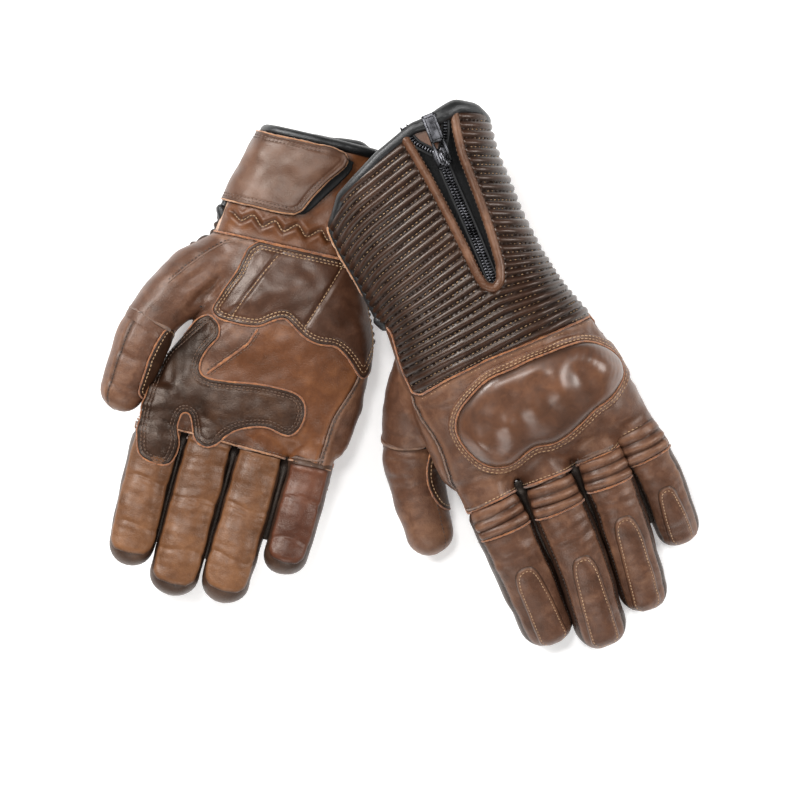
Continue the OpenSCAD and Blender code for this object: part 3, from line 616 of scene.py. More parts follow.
def digit_form(g, k, ring=40, step=2.0, upto=None, start=0.0, slim=0.0, plump=None):
    """The skin of a digit from a length along its plan axis to its round tip, in rings. Its fields are each point's
    length along, s, and angle round, ang (0 at the right, a quarter turn at the back of the hand)."""
    s, t = digit_path(g, k, step, upto)
    keep = s >= start - 1e-6
    s, t = s[keep], t[keep]
    p, hw, ht = t[:, :3].copy(), t[:, 3] - slim, t[:, 4] - slim
    if plump is not None:
        grow = smooth(plump - 15, plump + 1, s)
        p[:, 0] += PLUMP[g][k][0] * grow
        hw = hw + PLUMP[g][k][1] * grow
    d = unit(np.gradient(p, axis=0))
    tip = np.linspace(0, math.pi / 2, 9)[1:]
    reach = hw[-1]
    p = np.vstack([p, p[-1] + d[-1] * np.sin(tip)[:, None] * reach])
    shrink = np.maximum(np.cos(tip), 0.02) ** 0.9
    hw = np.concatenate([hw, hw[-1] * shrink])
    ht = np.concatenate([ht, ht[-1] * shrink])
    s = np.concatenate([s, s[-1] + reach * np.sin(tip)])
    d = np.vstack([d, np.repeat(d[-1:], len(tip), 0)])
    across = unit(np.stack([-d[:, 1], d[:, 0], np.zeros(len(d))], 1))
    over = np.cross(d, across) * UP[g]
    a = np.arange(ring) / ring * 2 * math.pi
    c, q = power(np.cos(a), SQUARE + 0.05), power(np.sin(a), SQUARE + 0.05)
    v = (p[:, None] + across[:, None] * (c * hw[:, None])[..., None]
         + over[:, None] * (q * ht[:, None])[..., None]).reshape(-1, 3)
    f = outward(v, grid_faces(len(s), ring))
    return Skin(v, f, a={"s": np.repeat(s, ring), "ang": np.tile(a, len(s))})


def linked(name, data):
    """A new object in the scene."""
    ob = bpy.data.objects.new(name, data)
    bpy.context.scene.collection.objects.link(ob)
    return ob


def mesh_arrays(me):
    me.calc_loop_triangles()
    v = np.zeros(len(me.vertices) * 3)
    me.vertices.foreach_get("co", v)
    f = np.zeros(len(me.loop_triangles) * 3, dtype=np.int32)
    me.loop_triangles.foreach_get("vertices", f)
    return v.reshape(-1, 3), f.reshape(-1, 3)


def relaxed(v, f, times):
    """Points each moved half way to the mean of their neighbours, that many times."""
    e = np.concatenate([f[:, [0, 1]], f[:, [1, 2]], f[:, [2, 0]]])
    e = np.unique(np.sort(e, axis=1), axis=0)
    deg = np.bincount(e.ravel(), minlength=len(v))[:, None]
    for _ in range(times):
        acc = np.zeros_like(v)
        np.add.at(acc, e[:, 0], v[e[:, 1]])
        np.add.at(acc, e[:, 1], v[e[:, 0]])
        v = v + 0.5 * (acc / np.maximum(deg, 1) - v)
    return v


def fused_skin(g):
    """The hand and cuff with the roots of the digits, as one smooth skin."""
    parts = [body_form(g)]
    for k in range(5):
        run = run_along(np.array(DIGITS[g][k])[:, :2])
        s = digit_form(g, k, upto=run[2] + 3) if k == THUMB else digit_form(g, k, upto=run[1] + 6, slim=0.35)
        parts.append((s.v, s.f))
    first = np.cumsum([0] + [len(v) for v, _ in parts])
    me = bpy.data.meshes.new("work")
    me.from_pydata(np.concatenate([v for v, _ in parts]).tolist(), [],
                   np.concatenate([f + i for (_, f), i in zip(parts, first)]).tolist())
    me.update()
    ob = linked("work", me)
    mod = ob.modifiers.new("fuse", "REMESH")
    mod.mode = "VOXEL"
    mod.voxel_size = VOXEL
    mod.adaptivity = 0
    deps = bpy.context.evaluated_depsgraph_get()
    me = bpy.data.meshes.new_from_object(ob.evaluated_get(deps))
    v, f = mesh_arrays(me)
    bpy.data.objects.remove(ob)
    bpy.data.meshes.remove(me)
    return Skin(relaxed(v, f, 10), f)


# ---------------------------------------------------------------- materials

def srgb(code):
    c = [int(code[i:i + 2], 16) / 255 for i in (1, 3, 5)]
    return [x / 12.92 if x <= 0.04045 else ((x + 0.055) / 1.055) ** 2.4 for x in c] + [1.0]


class Nodes:
    """Builds a material's nodes."""

    def __init__(self, name):
        self.mat = bpy.data.materials.new(name)
        self.mat.use_nodes = True
        self.t = self.mat.node_tree
        self.bsdf = self.t.nodes["Principled BSDF"]
        self.co = self.t.nodes.new("ShaderNodeTexCoord").outputs["Object"]

    def put(self, kind, **values):
        n = self.t.nodes.new("ShaderNode" + kind)
        for k, v in values.items():
            if k in n.inputs:
                self.set(n.inputs[k], v)
            else:
                setattr(n, k, v)
        return n

    def set(self, socket, v):
        if isinstance(v, bpy.types.NodeSocket):
            self.t.links.new(v, socket)
        else:
            socket.default_value = v

    def noise(self, scale, detail=3.0, rough=0.55, distort=0.0):
        n = self.put("TexNoise", Scale=scale, Detail=detail, Roughness=rough, Distortion=distort)
        self.t.links.new(self.co, n.inputs["Vector"])
        return n.outputs["Fac"]

    def cells(self, scale, feature="DISTANCE_TO_EDGE", random=1.0):
        n = self.put("TexVoronoi", feature=feature, Scale=scale, Randomness=random)
        self.t.links.new(self.co, n.inputs["Vector"])
        return n.outputs["Distance"]

    def ramp(self, fac, *stops):
        n = self.put("ValToRGB")
        self.t.links.new(fac, n.inputs["Fac"])
        e = n.color_ramp.elements
        while len(e) < len(stops):
            e.new(0.5)
        for el, (at, col) in zip(e, stops):
            el.position = at
            el.color = col if isinstance(col, (list, tuple)) else [col, col, col, 1.0]
        return n.outputs["Color"]

    def mix(self, fac, a, b, mode="MIX"):
        n = self.put("Mix", data_type="RGBA", blend_type=mode)
        for i, v in ((0, fac), (6, a), (7, b)):
            self.set(n.inputs[i], v)
        return n.outputs[2]

    def math(self, op, a, b=0.0, clamp=False):
        n = self.put("Math", operation=op, use_clamp=clamp)
        self.set(n.inputs[0], a)
        self.set(n.inputs[1], b)
        return n.outputs[0]

    def blend(self, a, much_a, b, much_b):
        return self.math("ADD", self.math("MULTIPLY", a, much_a), self.math("MULTIPLY", b, much_b))

    def field(self, name):
        return self.put("Attribute", attribute_name=name).outputs["Fac"]

    def bump(self, height, strength, distance, normal=None):
        n = self.put("Bump", Strength=strength, Distance=distance)
        self.t.links.new(height, n.inputs["Height"])
        if normal is not None:
            self.t.links.new(normal, n.inputs["Normal"])
        return n.outputs["Normal"]

    def finish(self, **values):
        for k, v in values.items():
            self.set(self.bsdf.inputs[k.replace("_", " ")], v)
        return self.mat


def leather(name, dark, base, light, rough=(0.36, 0.55), grain=0.3, wrinkle=0.35, coat=0.16, gloss=0.34):
    """Aniline leather: cloudy colour, pores, fine creases, paler where it is rubbed and with painted sheen on crests
    and tops, darker in the seams and with painted shade in grooves, hollows and at cut edges.
    """
    m = Nodes(name)
    cloud = m.noise(34, 4, 0.6, 0.4)
    spots = m.noise(150, 5, 0.65, 0.6)
    fine = m.noise(900, 3, 0.7)
    tone = m.blend(cloud, 0.62, spots, 0.38)
    colour = m.ramp(tone, (0.28, srgb(dark)), (0.5, srgb(base)), (0.76, srgb(light)))
    pores = m.ramp(m.cells(1500), (0.0, 0.72), (0.09, 1.0))
    colour = m.mix(0.35, colour, m.mix(1.0, colour, pores, "MULTIPLY"))
    colour = m.mix(m.math("MULTIPLY", fine, 0.22), colour, srgb(dark))
    # paler where the point field for rubbing is high: rubbed leather, and painted sheen on crests, tops and tips
    wear_and_sheen_amount = m.math("MULTIPLY", m.field("wear_and_sheen"), m.math("ADD", 0.55, m.math("MULTIPLY", spots, 0.7)), True)
    colour = m.mix(m.math("MULTIPLY", wear_and_sheen_amount, 0.7), colour, srgb(light))
    # darker where the point field for dirt is high: the seams' own dark with dirt, and painted shade in grooves,
    # folds, hollows and at cut edges
    dirt_and_shade_amount = m.math("MULTIPLY", m.field("dirt_and_shade"), m.math("ADD", 0.6, m.math("MULTIPLY", spots, 0.6)), True)
    colour = m.mix(dirt_and_shade_amount, colour, m.mix(0.8, colour, srgb(dark), "MULTIPLY"))
    shine = m.ramp(m.blend(cloud, 0.5, spots, 0.5), (0.35, rough[0]), (0.65, rough[1]))
    shine = m.math("ADD", shine, m.math("MULTIPLY", m.field("dirt_and_shade"), 0.12))
    pebble = m.cells(1100, random=0.9)
    n1 = m.bump(pebble, grain, 0.00035)
    crease = m.noise(420, 6, 0.62, 1.6)
    n2 = m.bump(crease, wrinkle, 0.0007, n1)
    soft = m.noise(120, 3, 0.5, 0.8)
    n3 = m.bump(soft, 0.4 * wrinkle, 0.001, n2)
    return m.finish(Base_Color=colour, Roughness=shine, Normal=n3, Specular_IOR_Level=0.34,
                    Specular_Tint=(1.0, 0.84, 0.72, 1.0), Coat_Weight=coat, Coat_Roughness=gloss)


def suede(name, dark, base, light):
    """The cut edge of leather and its inner side: matt, fibrous, warm."""
    m = Nodes(name)
    fibre = m.noise(1800, 5, 0.75, 1.0)
    cloud = m.noise(260, 3, 0.6)
    tone = m.blend(fibre, 0.5, cloud, 0.5)
    colour = m.ramp(tone, (0.36, srgb(dark)), (0.52, srgb(base)), (0.66, srgb(light)))
    return m.finish(Base_Color=colour, Roughness=0.92, Normal=m.bump(fibre, 0.9, 0.0006), Sheen_Weight=0.35,
                    Sheen_Roughness=0.6)


def thread(name, dark, light):
    """Twisted sewing thread."""
    m = Nodes(name)
    twist = m.noise(2600, 2, 0.5, 2.0)
    colour = m.ramp(m.math("ADD", m.math("MULTIPLY", twist, 0.5), m.math("MULTIPLY", m.noise(90), 0.5)),
                    (0.38, srgb(dark)), (0.62, srgb(light)))
    return m.finish(Base_Color=colour, Roughness=0.6, Normal=m.bump(twist, 0.8, 0.0003), Sheen_Weight=0.2)


def cloth(name, dark, light, scale, rough, bump, sheen, coat=0.0):
    """Woven tape, binding or lining."""
    m = Nodes(name)
    weave = m.cells(scale, "F1", random=0.35)
    cloud = m.noise(130, 4, 0.6, 0.7)
    colour = m.ramp(m.blend(weave, 0.5, cloud, 0.6), (0.3, srgb(dark)), (0.75, srgb(light)))
    n1 = m.bump(weave, bump, 0.0004)
    n2 = m.bump(cloud, 0.3, 0.0018, n1)
    return m.finish(Base_Color=colour, Roughness=rough, Normal=n2, Sheen_Weight=sheen, Sheen_Roughness=0.45,
                    Coat_Weight=coat, Coat_Roughness=0.35)


def metal(name, dark, light, rough):
    """Dark plated metal, finely brushed."""
    m = Nodes(name)
    cloud = m.noise(160, 2, 0.5)
    scratch = m.noise(2600, 2, 0.5, 4.0)
    colour = m.ramp(cloud, (0.35, srgb(dark)), (0.7, srgb(light)))
    return m.finish(Base_Color=colour, Metallic=0.9, Roughness=m.ramp(cloud, (0.35, rough[0]), (0.7, rough[1])),
                    Normal=m.bump(scratch, 0.04, 0.0001))


M = {
    "brown": leather("brown_leather", "#321e14", "#593a2a", "#8b644b", rough=(0.33, 0.48), coat=0.2),
    "quilt": leather("quilted_leather", "#140a05", "#211109", "#412617", rough=(0.3, 0.4), wrinkle=0.2, coat=0.22,
                     gloss=0.24),
    "guard": leather("guard_leather", "#2e1a0f", "#53321f", "#7c5034", rough=(0.34, 0.44), grain=0.05,
                     wrinkle=0.012, coat=0.8, gloss=0.33),
    "dark": leather("dark_leather", "#190e08", "#331e12", "#573a26", rough=(0.32, 0.46), coat=0.08),
    "heel": leather("heel_leather", "#29180f", "#43291c", "#684633", rough=(0.3, 0.42), wrinkle=0.14,
                    coat=0.22),
    "orange": leather("palm_leather", "#3e2210", "#5b341c", "#80502d", rough=(0.32, 0.45), wrinkle=0.25),
    "tan": leather("tan_leather", "#40281b", "#634230", "#8d6750", rough=(0.3, 0.46)),
    "ochre": leather("finger_palm_leather", "#3c2414", "#603d25", "#885d3d", rough=(0.32, 0.46)),
    "red": leather("red_brown_leather", "#351a10", "#4e2a1b", "#6e432f", rough=(0.32, 0.45)),
    "strap": leather("strap_leather", "#37231a", "#543728", "#785845", rough=(0.34, 0.48), wrinkle=0.2),
    "welt": leather("welt_leather", "#372116", "#593a28", "#87624b", rough=(0.22, 0.34), wrinkle=0.3),
    "pale": leather("pale_leather", "#a07f69", "#bd9c85", "#d8bda8", rough=(0.5, 0.65), wrinkle=0.4),
    # near-black leather for the finger gussets: real gusset leather, coloured as painted shade in the gaps between
    # the fingers
    "gusset": leather("gusset_leather_painted_shade", "#0a0605", "#150d09", "#261a13", coat=0.05),
    "side": leather("finger_side_leather", "#1d120c", "#352218", "#573d2d"),
    "edge": suede("raw_edge", "#5e3214", "#935627", "#b97a43"),
    "edge_pale": suede("raw_edge_pale", "#7a4c2b", "#a9744a", "#cda078"),
    "inner": suede("leather_inside", "#4a3325", "#6b4b36", "#86644a"),
    "thread_tan": thread("tan_thread", "#8d6a48", "#c5a077"),
    "thread_dark": thread("dark_thread", "#20150f", "#3c2a1e"),
    "thread_brown": thread("brown_thread", "#3f2a1c", "#6d4c33"),
    "binding": cloth("black_binding", "#030303", "#0c0c0d", 1700, 0.42, 0.3, 0.0, 0.22),
    "lining": cloth("black_lining", "#050505", "#101011", 1300, 0.85, 0.6, 0.1),
    "tape": cloth("zip_tape_cloth", "#060607", "#141415", 2200, 0.7, 0.8, 0.05),
    "hook": cloth("hook_tape_cloth", "#040404", "#101010", 2400, 0.85, 1.0, 0.1),
    "coil": metal("zip_coil", "#1b1b1d", "#58585c", (0.22, 0.36)),
    "metal": metal("gunmetal", "#1a1a1b", "#5c5c60", (0.2, 0.3)),
}


# ---------------------------------------------------------------- pieces

def put_piece(name, g, v, faces, mats, names, body, nodes=(), fields=None, bend=None, angle=52):
    """One Blender object from local mm. A piece given bend = (body_a, body_b, start, end) is left in the row frame
    with no body; the joint itself is not used here.
    """
    me = bpy.data.meshes.new(name)
    v = to_row(g, v)
    v[:, 2] = np.maximum(v[:, 2], 0.0)
    if isinstance(faces, np.ndarray):
        me.vertices.add(len(v))
        me.vertices.foreach_set("co", v.astype(np.float32).ravel())
        me.loops.add(faces.size)
        me.loops.foreach_set("vertex_index", faces.astype(np.int32).ravel())
        me.polygons.add(len(faces))
        me.polygons.foreach_set("loop_start", np.arange(0, faces.size, faces.shape[1], dtype=np.int32))
        me.update(calc_edges=True)
    else:
        me.from_pydata(v.tolist(), [], faces)
        me.update()
    for n in names:
        me.materials.append(M[n])
    me.polygons.foreach_set("material_index", np.asarray(mats, dtype=np.int32))
    me.polygons.foreach_set("use_smooth", np.ones(len(me.polygons), dtype=bool))
    me.set_sharp_from_angle(angle=math.radians(angle))
    # two point fields tint the leather: one pales it (rubbing with painted sheen), one darkens it (dirt with painted
    # shade)
    for key in ("wear_and_sheen", "dirt_and_shade"):
        value = (fields or {}).get(key, 0.0)
        a = me.attributes.new(key, "FLOAT", "POINT")
        a.data.foreach_set("value", np.broadcast_to(np.asarray(value, np.float32), (len(v),)).copy())
    ob = linked(name, me)
    if bend:
        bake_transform(ob)
    else:
        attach(ob, body)
    if nodes:
        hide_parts(*nodes)


# ---------------------------------------------------------------- one glove

def edge_sheet(sk, key):
    """The part of a skin with field < 0 as a leather sheet whose cut edge is rolled down into the seam: its skin,
    points, faces, materials and fields."""
    s = sk.inside(key, 0.0, trim=(0.35, 0.9))
    d = -s.a[key]
    puff = 0.35 * np.exp(-((d - 2.2) / 1.6) ** 2)
    v, f, m = shell(s, edge_profile(d, 0.0, -0.9, 1.3) + puff, -LEATHER, wall=0)
    # painted shade on the rolled-down cut edge, with the seam's own dark; the puffed band beside it is paler, rubbing
    # with a painted highlight
    dirt_and_shade = np.exp(-(d / 1.1) ** 2) * 0.9
    wear_and_sheen = 0.5 * np.exp(-((d - 2.2) / 1.1) ** 2)
    return s, v, f, m, {"wear_and_sheen": on_top(wear_and_sheen), "dirt_and_shade": on_top(dirt_and_shade)}


class Glove:
    """One glove: the fused skin of its hand and cuff, with a field for each outline, and the pieces cut from it."""

    def __init__(self, g):
        self.g, self.name = g, SIDE[g]
        self.hand = f"{self.name}_hand"
        self.trees = {}
        self.skin = fused_skin(g)
        self.fields(self.skin)
        self.relief()

    # ------------------------------------------------ fields of the hand and cuff
    def fields(self, s):
        """The outlines as fields of the skin in mm, negative inside."""
        g, v = self.g, s.v
        p = v[:, :2]
        t = hermite(v[:, 1], BODY[g])
        xl, xr, xp, zc, hb, hp = t.T
        up = UP[g] * (v[:, 2] - zc)
        s.a["w"] = w = up / np.where(up > 0, hb, hp)
        side = smooth(-0.2, 0.25, w)
        dorsal, palm = (hermite(v[:, 1], np.column_stack([edge[:, 0], plan(g, edge[:, ::-1])[:, 0]]))[:, 0]
                        for edge, plan in ((np.array(DORSAL_EDGE), back_plan), (np.array(PALM_EDGE), palm_plan)))
        s.a["pd"] = v[:, 0] - (palm + (dorsal - palm) * side)
        ext = back_plan(g, [(-100, 230), (100, 230), (100, 61.5), (51, 60), (30, 59), (10, 58.5), (-9, 58), (-30, 56),
                            (-45, 53.5), (-49, 56), (-49.5, 66), (-48.5, 78), (-48, 88), (-50, 94), (-100, 97)])
        s.a["cuff"] = np.maximum(inside_distance(p, ext), -w * 22)
        rim_back = np.interp(v[:, 0], *back_plan(g, [(-70, 140), (-57, 150), (-53, 155), (-47, 162.5), (-22, 174.5),
                                                     (-1, 181.5), (8, 181), (23, 184), (31, 180), (36, 171),
                                                     (48, 160)]).T)
        rim_palm = rim_back if g == LEFT else 161.5 + (v[:, 0] - 18) * 0.03
        s.a["rim"] = v[:, 1] - (rim_palm + (rim_back - rim_palm) * smooth(-0.25, 0.3, w))
        s.a["wrist"] = WRIST_Y + 0.04 * v[:, 0] - v[:, 1]
        zip_line = np.array(ZIP_EDGE, float) + np.array(ZIP_AT[g])
        s.a["zip"] = np.where(w > 0, inside_distance(p, zip_line), 50.0)
        s.a["guard"] = np.where(w > -0.1, inside_distance(p, curve(back_plan(g, GUARD), 3, True)), 60.0)
        for key, outline in (("heel", HEEL), ("patch", PATCH), ("orange", ORANGE)):
            per = 1 if key == "orange" else 3
            s.a[key] = np.where(w < 0.05, inside_distance(p, curve(palm_plan(g, outline), per, True)), 60.0)
        # what the fingers take over
        back_cut = np.interp(v[:, 0], [-50, -45, -17, -11, 10, 18, 37, 44, 60],
                             [-12, -11.5, -9, -9, -9, -8, -8, -3, -2])
        palm_cut = -6.0
        s.a["root"] = palm_cut + (back_cut - palm_cut) * smooth(-0.3, 0.3, w) - v[:, 1]
        # what the thumb takes over
        st = np.array(DIGITS[g][THUMB], float)
        path = curve(st[:, :2], 4)
        along_s, u = axis_coords(p, path)
        run = run_along(st[:, :2])
        q = hermite(along_s, np.column_stack([run, st[:, 2:]]))
        r = np.sqrt((u / q[:, 1]) ** 2 + ((v[:, 2] - q[:, 0]) / q[:, 2]) ** 2)
        half = np.where(v[:, 0] > xp, xr - xp, xp - xl)
        form = (np.abs((v[:, 0] - xp) / half) ** (2 / SQUARE) + np.abs(w) ** (2 / SQUARE)) ** (SQUARE / 2)
        s.a["thumb"] = np.minimum(np.minimum(along_s - run[2] - 3, (form - 1.04) * 14), (1.45 - r) * 12)

    def relief(self):
        """Soft folds of well-used leather, kept off the flat seats of the zip and guard; only the broadest ones reach
        the cuff.
        """
        s = self.skin
        v, w = s.v, s.a["w"]
        calm = smooth(0, 6, s.a["zip"]) * smooth(-2, 6, s.a["guard"])
        leather_zone = smooth(-2, 4, s.a["cuff"])
        h = 0.4 * waves(v, 34, 11 + self.g) + 0.2 * waves(v, 13, 5 + self.g) * leather_zone
        fold = waves(v * np.array([0.55, 1.5, 1]), 11, 23 + self.g)
        band = np.exp(-((v[:, 1] - 54 - 0.1 * v[:, 0]) / 9) ** 2) * smooth(0.1, 0.4, w)
        h += 0.55 * fold * band * leather_zone
        web = np.exp(-((v[:, 1] - 2) / 8) ** 2)
        h += 0.3 * fold * web
        thenar = smooth(-0.05, -0.35, w) * np.exp(-((v[:, 0] + 22) / 14) ** 2 - ((v[:, 1] - 62) / 20) ** 2)
        h += 0.9 * thenar * waves(v @ np.array([[0.8, -0.6, 0], [0.35, 0.45, 0], [0, 0, 0.5]]).T, 9, 3)
        s.v = v + s.n * (h * calm)[:, None]
        s.n = vertex_normals(s.v, s.f)

    # ------------------------------------------------ shared helpers
    def piece(self, name, data, names, nodes=(), body=None, fields=None, bend=None, angle=52):
        """One piece of this glove. name and nodes are given without the glove's own prefix."""
        v, f, m = data
        put_piece(f"{self.name}_{name}", self.g, v, f, m, names, body or self.hand,
                  [f"{self.name}_{n}" for n in nodes], fields, bend, angle)

    def drape(self, s, points, face, per=4):
        """A plan line laid on a skin from the back (face 1) or the palm (face -1)."""
        if id(s) not in self.trees:
            self.trees[id(s)] = (BVHTree.FromPolygons(s.v.tolist(), s.f.tolist()), s)
        z = UP[self.g] * face
        p, n = [], []
        for x, y in curve(points, per):
            at = self.trees[id(s)][0].ray_cast(Vector((x, y, z * 300)), Vector((0, 0, -z)))[0]
            if at is not None:
                near = np.argmin(np.linalg.norm(s.v[s.f].mean(1) - np.array(at), axis=1))
                p.append(np.array(at))
                n.append(s.n[s.f[near]].mean(0))
        return resampled(np.array(p), unit(np.array(n)), 0.9, ease=3) if len(p) > 2 else None

    # ------------------------------------------------ hand leather
    def hand_leather(self):
        """The back and palm panels, cut where the fingers and thumb take over."""
        s = self.skin
        s.a["off"] = np.maximum(s.a["root"], s.a["thumb"])
        s.a["back"] = np.maximum(np.maximum(-s.a["pd"], -s.a["cuff"]), -s.a["wrist"])
        s.a["palmside"] = np.maximum(np.maximum(s.a["pd"], -s.a["cuff"]), -s.a["wrist"])
        self.body_skin = body = s.below("off", 1).split("off").under("off")
        # back of the hand
        _, v, f, m, a = edge_sheet(body, "back")
        self.piece("back_panel", (v, f, m), ["brown", "inner"], ["back_panel"], fields=a)
        t, v, f, m, a = edge_sheet(body, "palmside")
        mat = np.zeros(len(t.f), int)
        c = {k: t.a[k][t.f].mean(1) for k in ("orange", "w", "heel", "patch")}
        mat[(c["orange"] < 0) & (c["w"] < 0)] = 2
        mat[(c["w"] > -0.15)] = 3
        m[:len(t.f)] = mat
        self.piece("palm_panel", (v, f, m), ["brown", "inner", "orange", "tan"], ["palm_panel"],
                   fields=a)

    # ------------------------------------------------ cuff
    def cuff(self):
        """The ribbed back, the smocked palm side, the lining and the binding."""
        g, s = self.g, self.skin
        x, y = s.v[:, 0], s.v[:, 1]
        zx = ZIP_AT[g][0]
        lean = np.where(x < zx, 0.31 * (x - zx), -0.385 * (x - zx))
        lean -= 0.012 * np.clip(-36 + (8 if g else 0) - x, 0, None) ** 2
        low = 0.12 * (x - zx)
        t = smooth(62, 112, y)
        shift = t * lean + (1 - t) * low
        s.a["rib"] = (y - shift) / RIB_PITCH
        s.a["quilt"] = np.maximum(np.maximum(s.a["cuff"], s.a["rim"]), -s.a["zip"])
        q = s.below("quilt", 2).finer()
        q = q.inside("quilt", 0.0, trim=(0.5, 1.3))
        d = -q.a["quilt"]
        rib = np.abs(np.sin(math.pi * q.a["rib"]))
        ragged = 1 + 0.05 * waves(q.v, 20, 71)
        height = 1.75 * rib ** 0.62 * ragged * smooth(0.0, 2.4, d)
        top = edge_profile(d, 0.55, -0.5, 1.5) + height - 0.2
        v, f, m = shell(q, top, -LEATHER)
        # paler rib crests: rubbing with painted highlight; darker grooves between the ribs: painted shade
        wear_and_sheen = smooth(0.75, 1.0, rib) * 0.55
        dirt_and_shade = smooth(0.45, 0.0, rib) * 0.95
        self.piece("ribbed_cuff", (v, f, m), ["quilt", "inner"], ["ribbed_cuff"],
                   fields={"wear_and_sheen": on_top(wear_and_sheen), "dirt_and_shade": on_top(dirt_and_shade)})
        bits = Bits()
        mask = q.a["quilt"] < -2.5
        for k in range(math.ceil(q.a["rib"].min()), math.floor(q.a["rib"].max()) + 1):
            for line in q.lines("rib", k, mask, least=5):
                stitches(bits, line, pitch=2.5, long=1.3, thick=0.3, lift=0.66, seed=k)
        self.piece("cuff_stitches", bits.get(), ["thread_tan"])

        # palm side of the cuff, with its smocked band
        s.a["pcuff"] = np.maximum(np.maximum(-s.a["cuff"], s.a["wrist"]), s.a["rim"])
        q = s.below("pcuff", 2).finer()
        q = q.inside("pcuff", 0.0, trim=(0.35, 0.9))
        d = -q.a["pcuff"]
        px, py = q.v[:, 0], q.v[:, 1]
        self.zig = zig = palm_plan(g, [(-19, 112), (-13.5, 108.5), (-8, 113.5), (-2, 108), (4, 113.5), (9.5, 108.5),
                                       (16, 114.5), (22, 109), (28.5, 115), (33.5, 110), (40, 115.5), (46, 110.5)])
        near = segments_distance(q.v[:, :2], zig, False)
        smock = smooth(-0.1, -0.3, q.a["w"]) * np.exp(-((py - 111 - 0.03 * px) / 4.5) ** 2)
        fold = -0.9 * np.exp(-(near / 1.1) ** 2) + 0.8 * np.exp(-((near - 3.0) / 1.6) ** 2)
        top = edge_profile(d, 0.0, -0.9, 1.3) + smock * fold
        v, f, m = shell(q, top, -LEATHER)
        m[:len(q.f)] = np.where((q.a["w"][q.f].mean(1) > -0.3) & (q.v[q.f].mean(1)[:, 0] <= 0), 2, 3)
        # painted shade in the smocking's folds and along the cut edge
        dirt_and_shade = np.clip(np.exp(-(near / 1.2) ** 2) * smock + np.exp(-(d / 1.2) ** 2), 0, 1)
        self.palm_cuff_skin = q
        self.piece("palm_cuff", (v, f, m), ["tan", "inner", "pale", "orange"], ["palm_cuff"],
                   fields={"dirt_and_shade": on_top(dirt_and_shade)})

        # lining, seen through the mouth
        s.a["mouth"] = np.maximum(s.a["rim"] + 1.5, 20 - s.v[:, 1])
        q = s.below("mouth", 2).inside("mouth", 0.0)
        v, f, m = shell(q, -LEATHER - 0.15, -2.6, wall=0)
        self.piece("lining", (v, f, m), ["lining"], ["lining"])

        # binding round the rim, down the slit on the thumb side and its end bar
        bits = Bits()
        for line in s.lines("rim", -1.8, least=40)[:1]:
            x, z = line[0][:, 0], line[0][:, 2]
            hood = np.exp(-((x - zx - 9) / 13) ** 2) * smooth(4, 14, UP[g] * (z - BODY[g][0][4]))
            edge_r = 2.8 + 1.4 * hood
            add_tube(bits, line, wide=edge_r, high=0.9 * edge_r, lift=-0.2, ring=14)
        mask = (s.a["rim"] < -1) & (y > (110 if g else 94)) & (s.v[:, 0] < zx - 30)
        for line in s.lines("cuff", 0.6, mask, least=20)[:1]:
            add_tube(bits, line, wide=2.4, high=2.0, lift=0.8, ring=10)
            p, n, _ = line
            low_end = 0 if p[0, 1] < p[-1, 1] else -1
            c, cn = p[low_end], n[low_end]
            bar = (np.linspace(c + np.array([-1.5, 4, 0]), c + np.array([2.5, -4, 0]), 8), np.tile(cn, (8, 1)), 0)
            add_tube(bits, bar, wide=3.3, high=3.0, lift=0.9, ring=10)
        self.piece("cuff_binding", bits.get(), ["binding"], ["cuff_binding"], angle=80)

    # ------------------------------------------------ zip
    def on_zip(self, pts):
        """Points of the zip's frame (its top end in plan, and height over the ridge) as points of the glove."""
        g = self.g
        ridge = BODY[g][1][4] + UP[g] * BODY[g][1][5]
        pts = np.asarray(pts, float)
        return np.stack([pts[..., 0] + ZIP_AT[g][0], pts[..., 1] + ZIP_AT[g][1], ridge + UP[g] * pts[..., 2]], -1)

    def zipper(self):
        """Tapes, welt, gusset and chain, then the slider and its puller."""
        g, s = self.g, self.skin
        n_up = np.array([0, 0, float(UP[g])])
        s.a["tape"] = np.maximum(s.a["zip"] - 2.2, s.a["rim"] + 0.8)
        q = s.below("tape", 2).inside("tape", 0.0)
        v, f, m = shell(q, -1.35, -1.95, wall=0)
        self.piece("zip_tapes", (v, f, m), ["tape"], ["zip_tapes"])
        # leather welt round the opening
        bits, thread = Bits(), Bits()
        mask = s.a["rim"] < -1.5
        for line in s.lines("zip", -0.4, mask, least=40)[:1]:
            add_tube(bits, line, wide=2.25, high=1.7, lift=0.75, ring=12)
            for side in (2.35, -2.35):
                stitches(thread, line, pitch=2.3, long=1.3, thick=0.22, lift=0.75, side=side)
            tip = line[0][:, 1] < ZIP_AT[g][1] - 80
            if tip.sum() > 4:
                part = (line[0][tip], line[1][tip], 0)
                stitches(thread, part, pitch=2.0, long=1.2, thick=0.24, lift=1.9)
        self.piece("zip_welt", bits.get(), ["welt"], ["zip_welt"], angle=80)
        # gusset of leather in the top of the V
        s.a["gusset"] = np.maximum(np.maximum(inside_distance(s.v[:, :2], np.array(
            [(-10, -9), (-1, -20), (5, -7), (8.5, 14), (-12, 14)]) + np.array(ZIP_AT[g])), s.a["rim"] + 1.0),
            -s.a["w"] * 20)
        q = s.below("gusset", 2).inside("gusset", 0.0)
        v, f, m = shell(q, -0.55, -1.3, wall=0)
        self.piece("zip_gusset", (v, f, m), ["brown"], ["zip_gusset"])
        # teeth: two meshed rows below the slider, a row on each branch above it
        bits = Bits()
        centre = curve([(-1.5, -24), (-1.0, -38), (-0.2, -55), (0.4, -72), (0.8, -91)], 8)
        left = curve([(-2.8, -20.5), (-6.5, -16.5), (-10.3, -12), (-12.6, -6), (-13.2, -1.5)], 6)
        right = curve([(-0.2, -20.5), (3.0, -16), (5.6, -11), (7.6, -5), (9.0, -1.0)], 6)
        z0 = 0.25

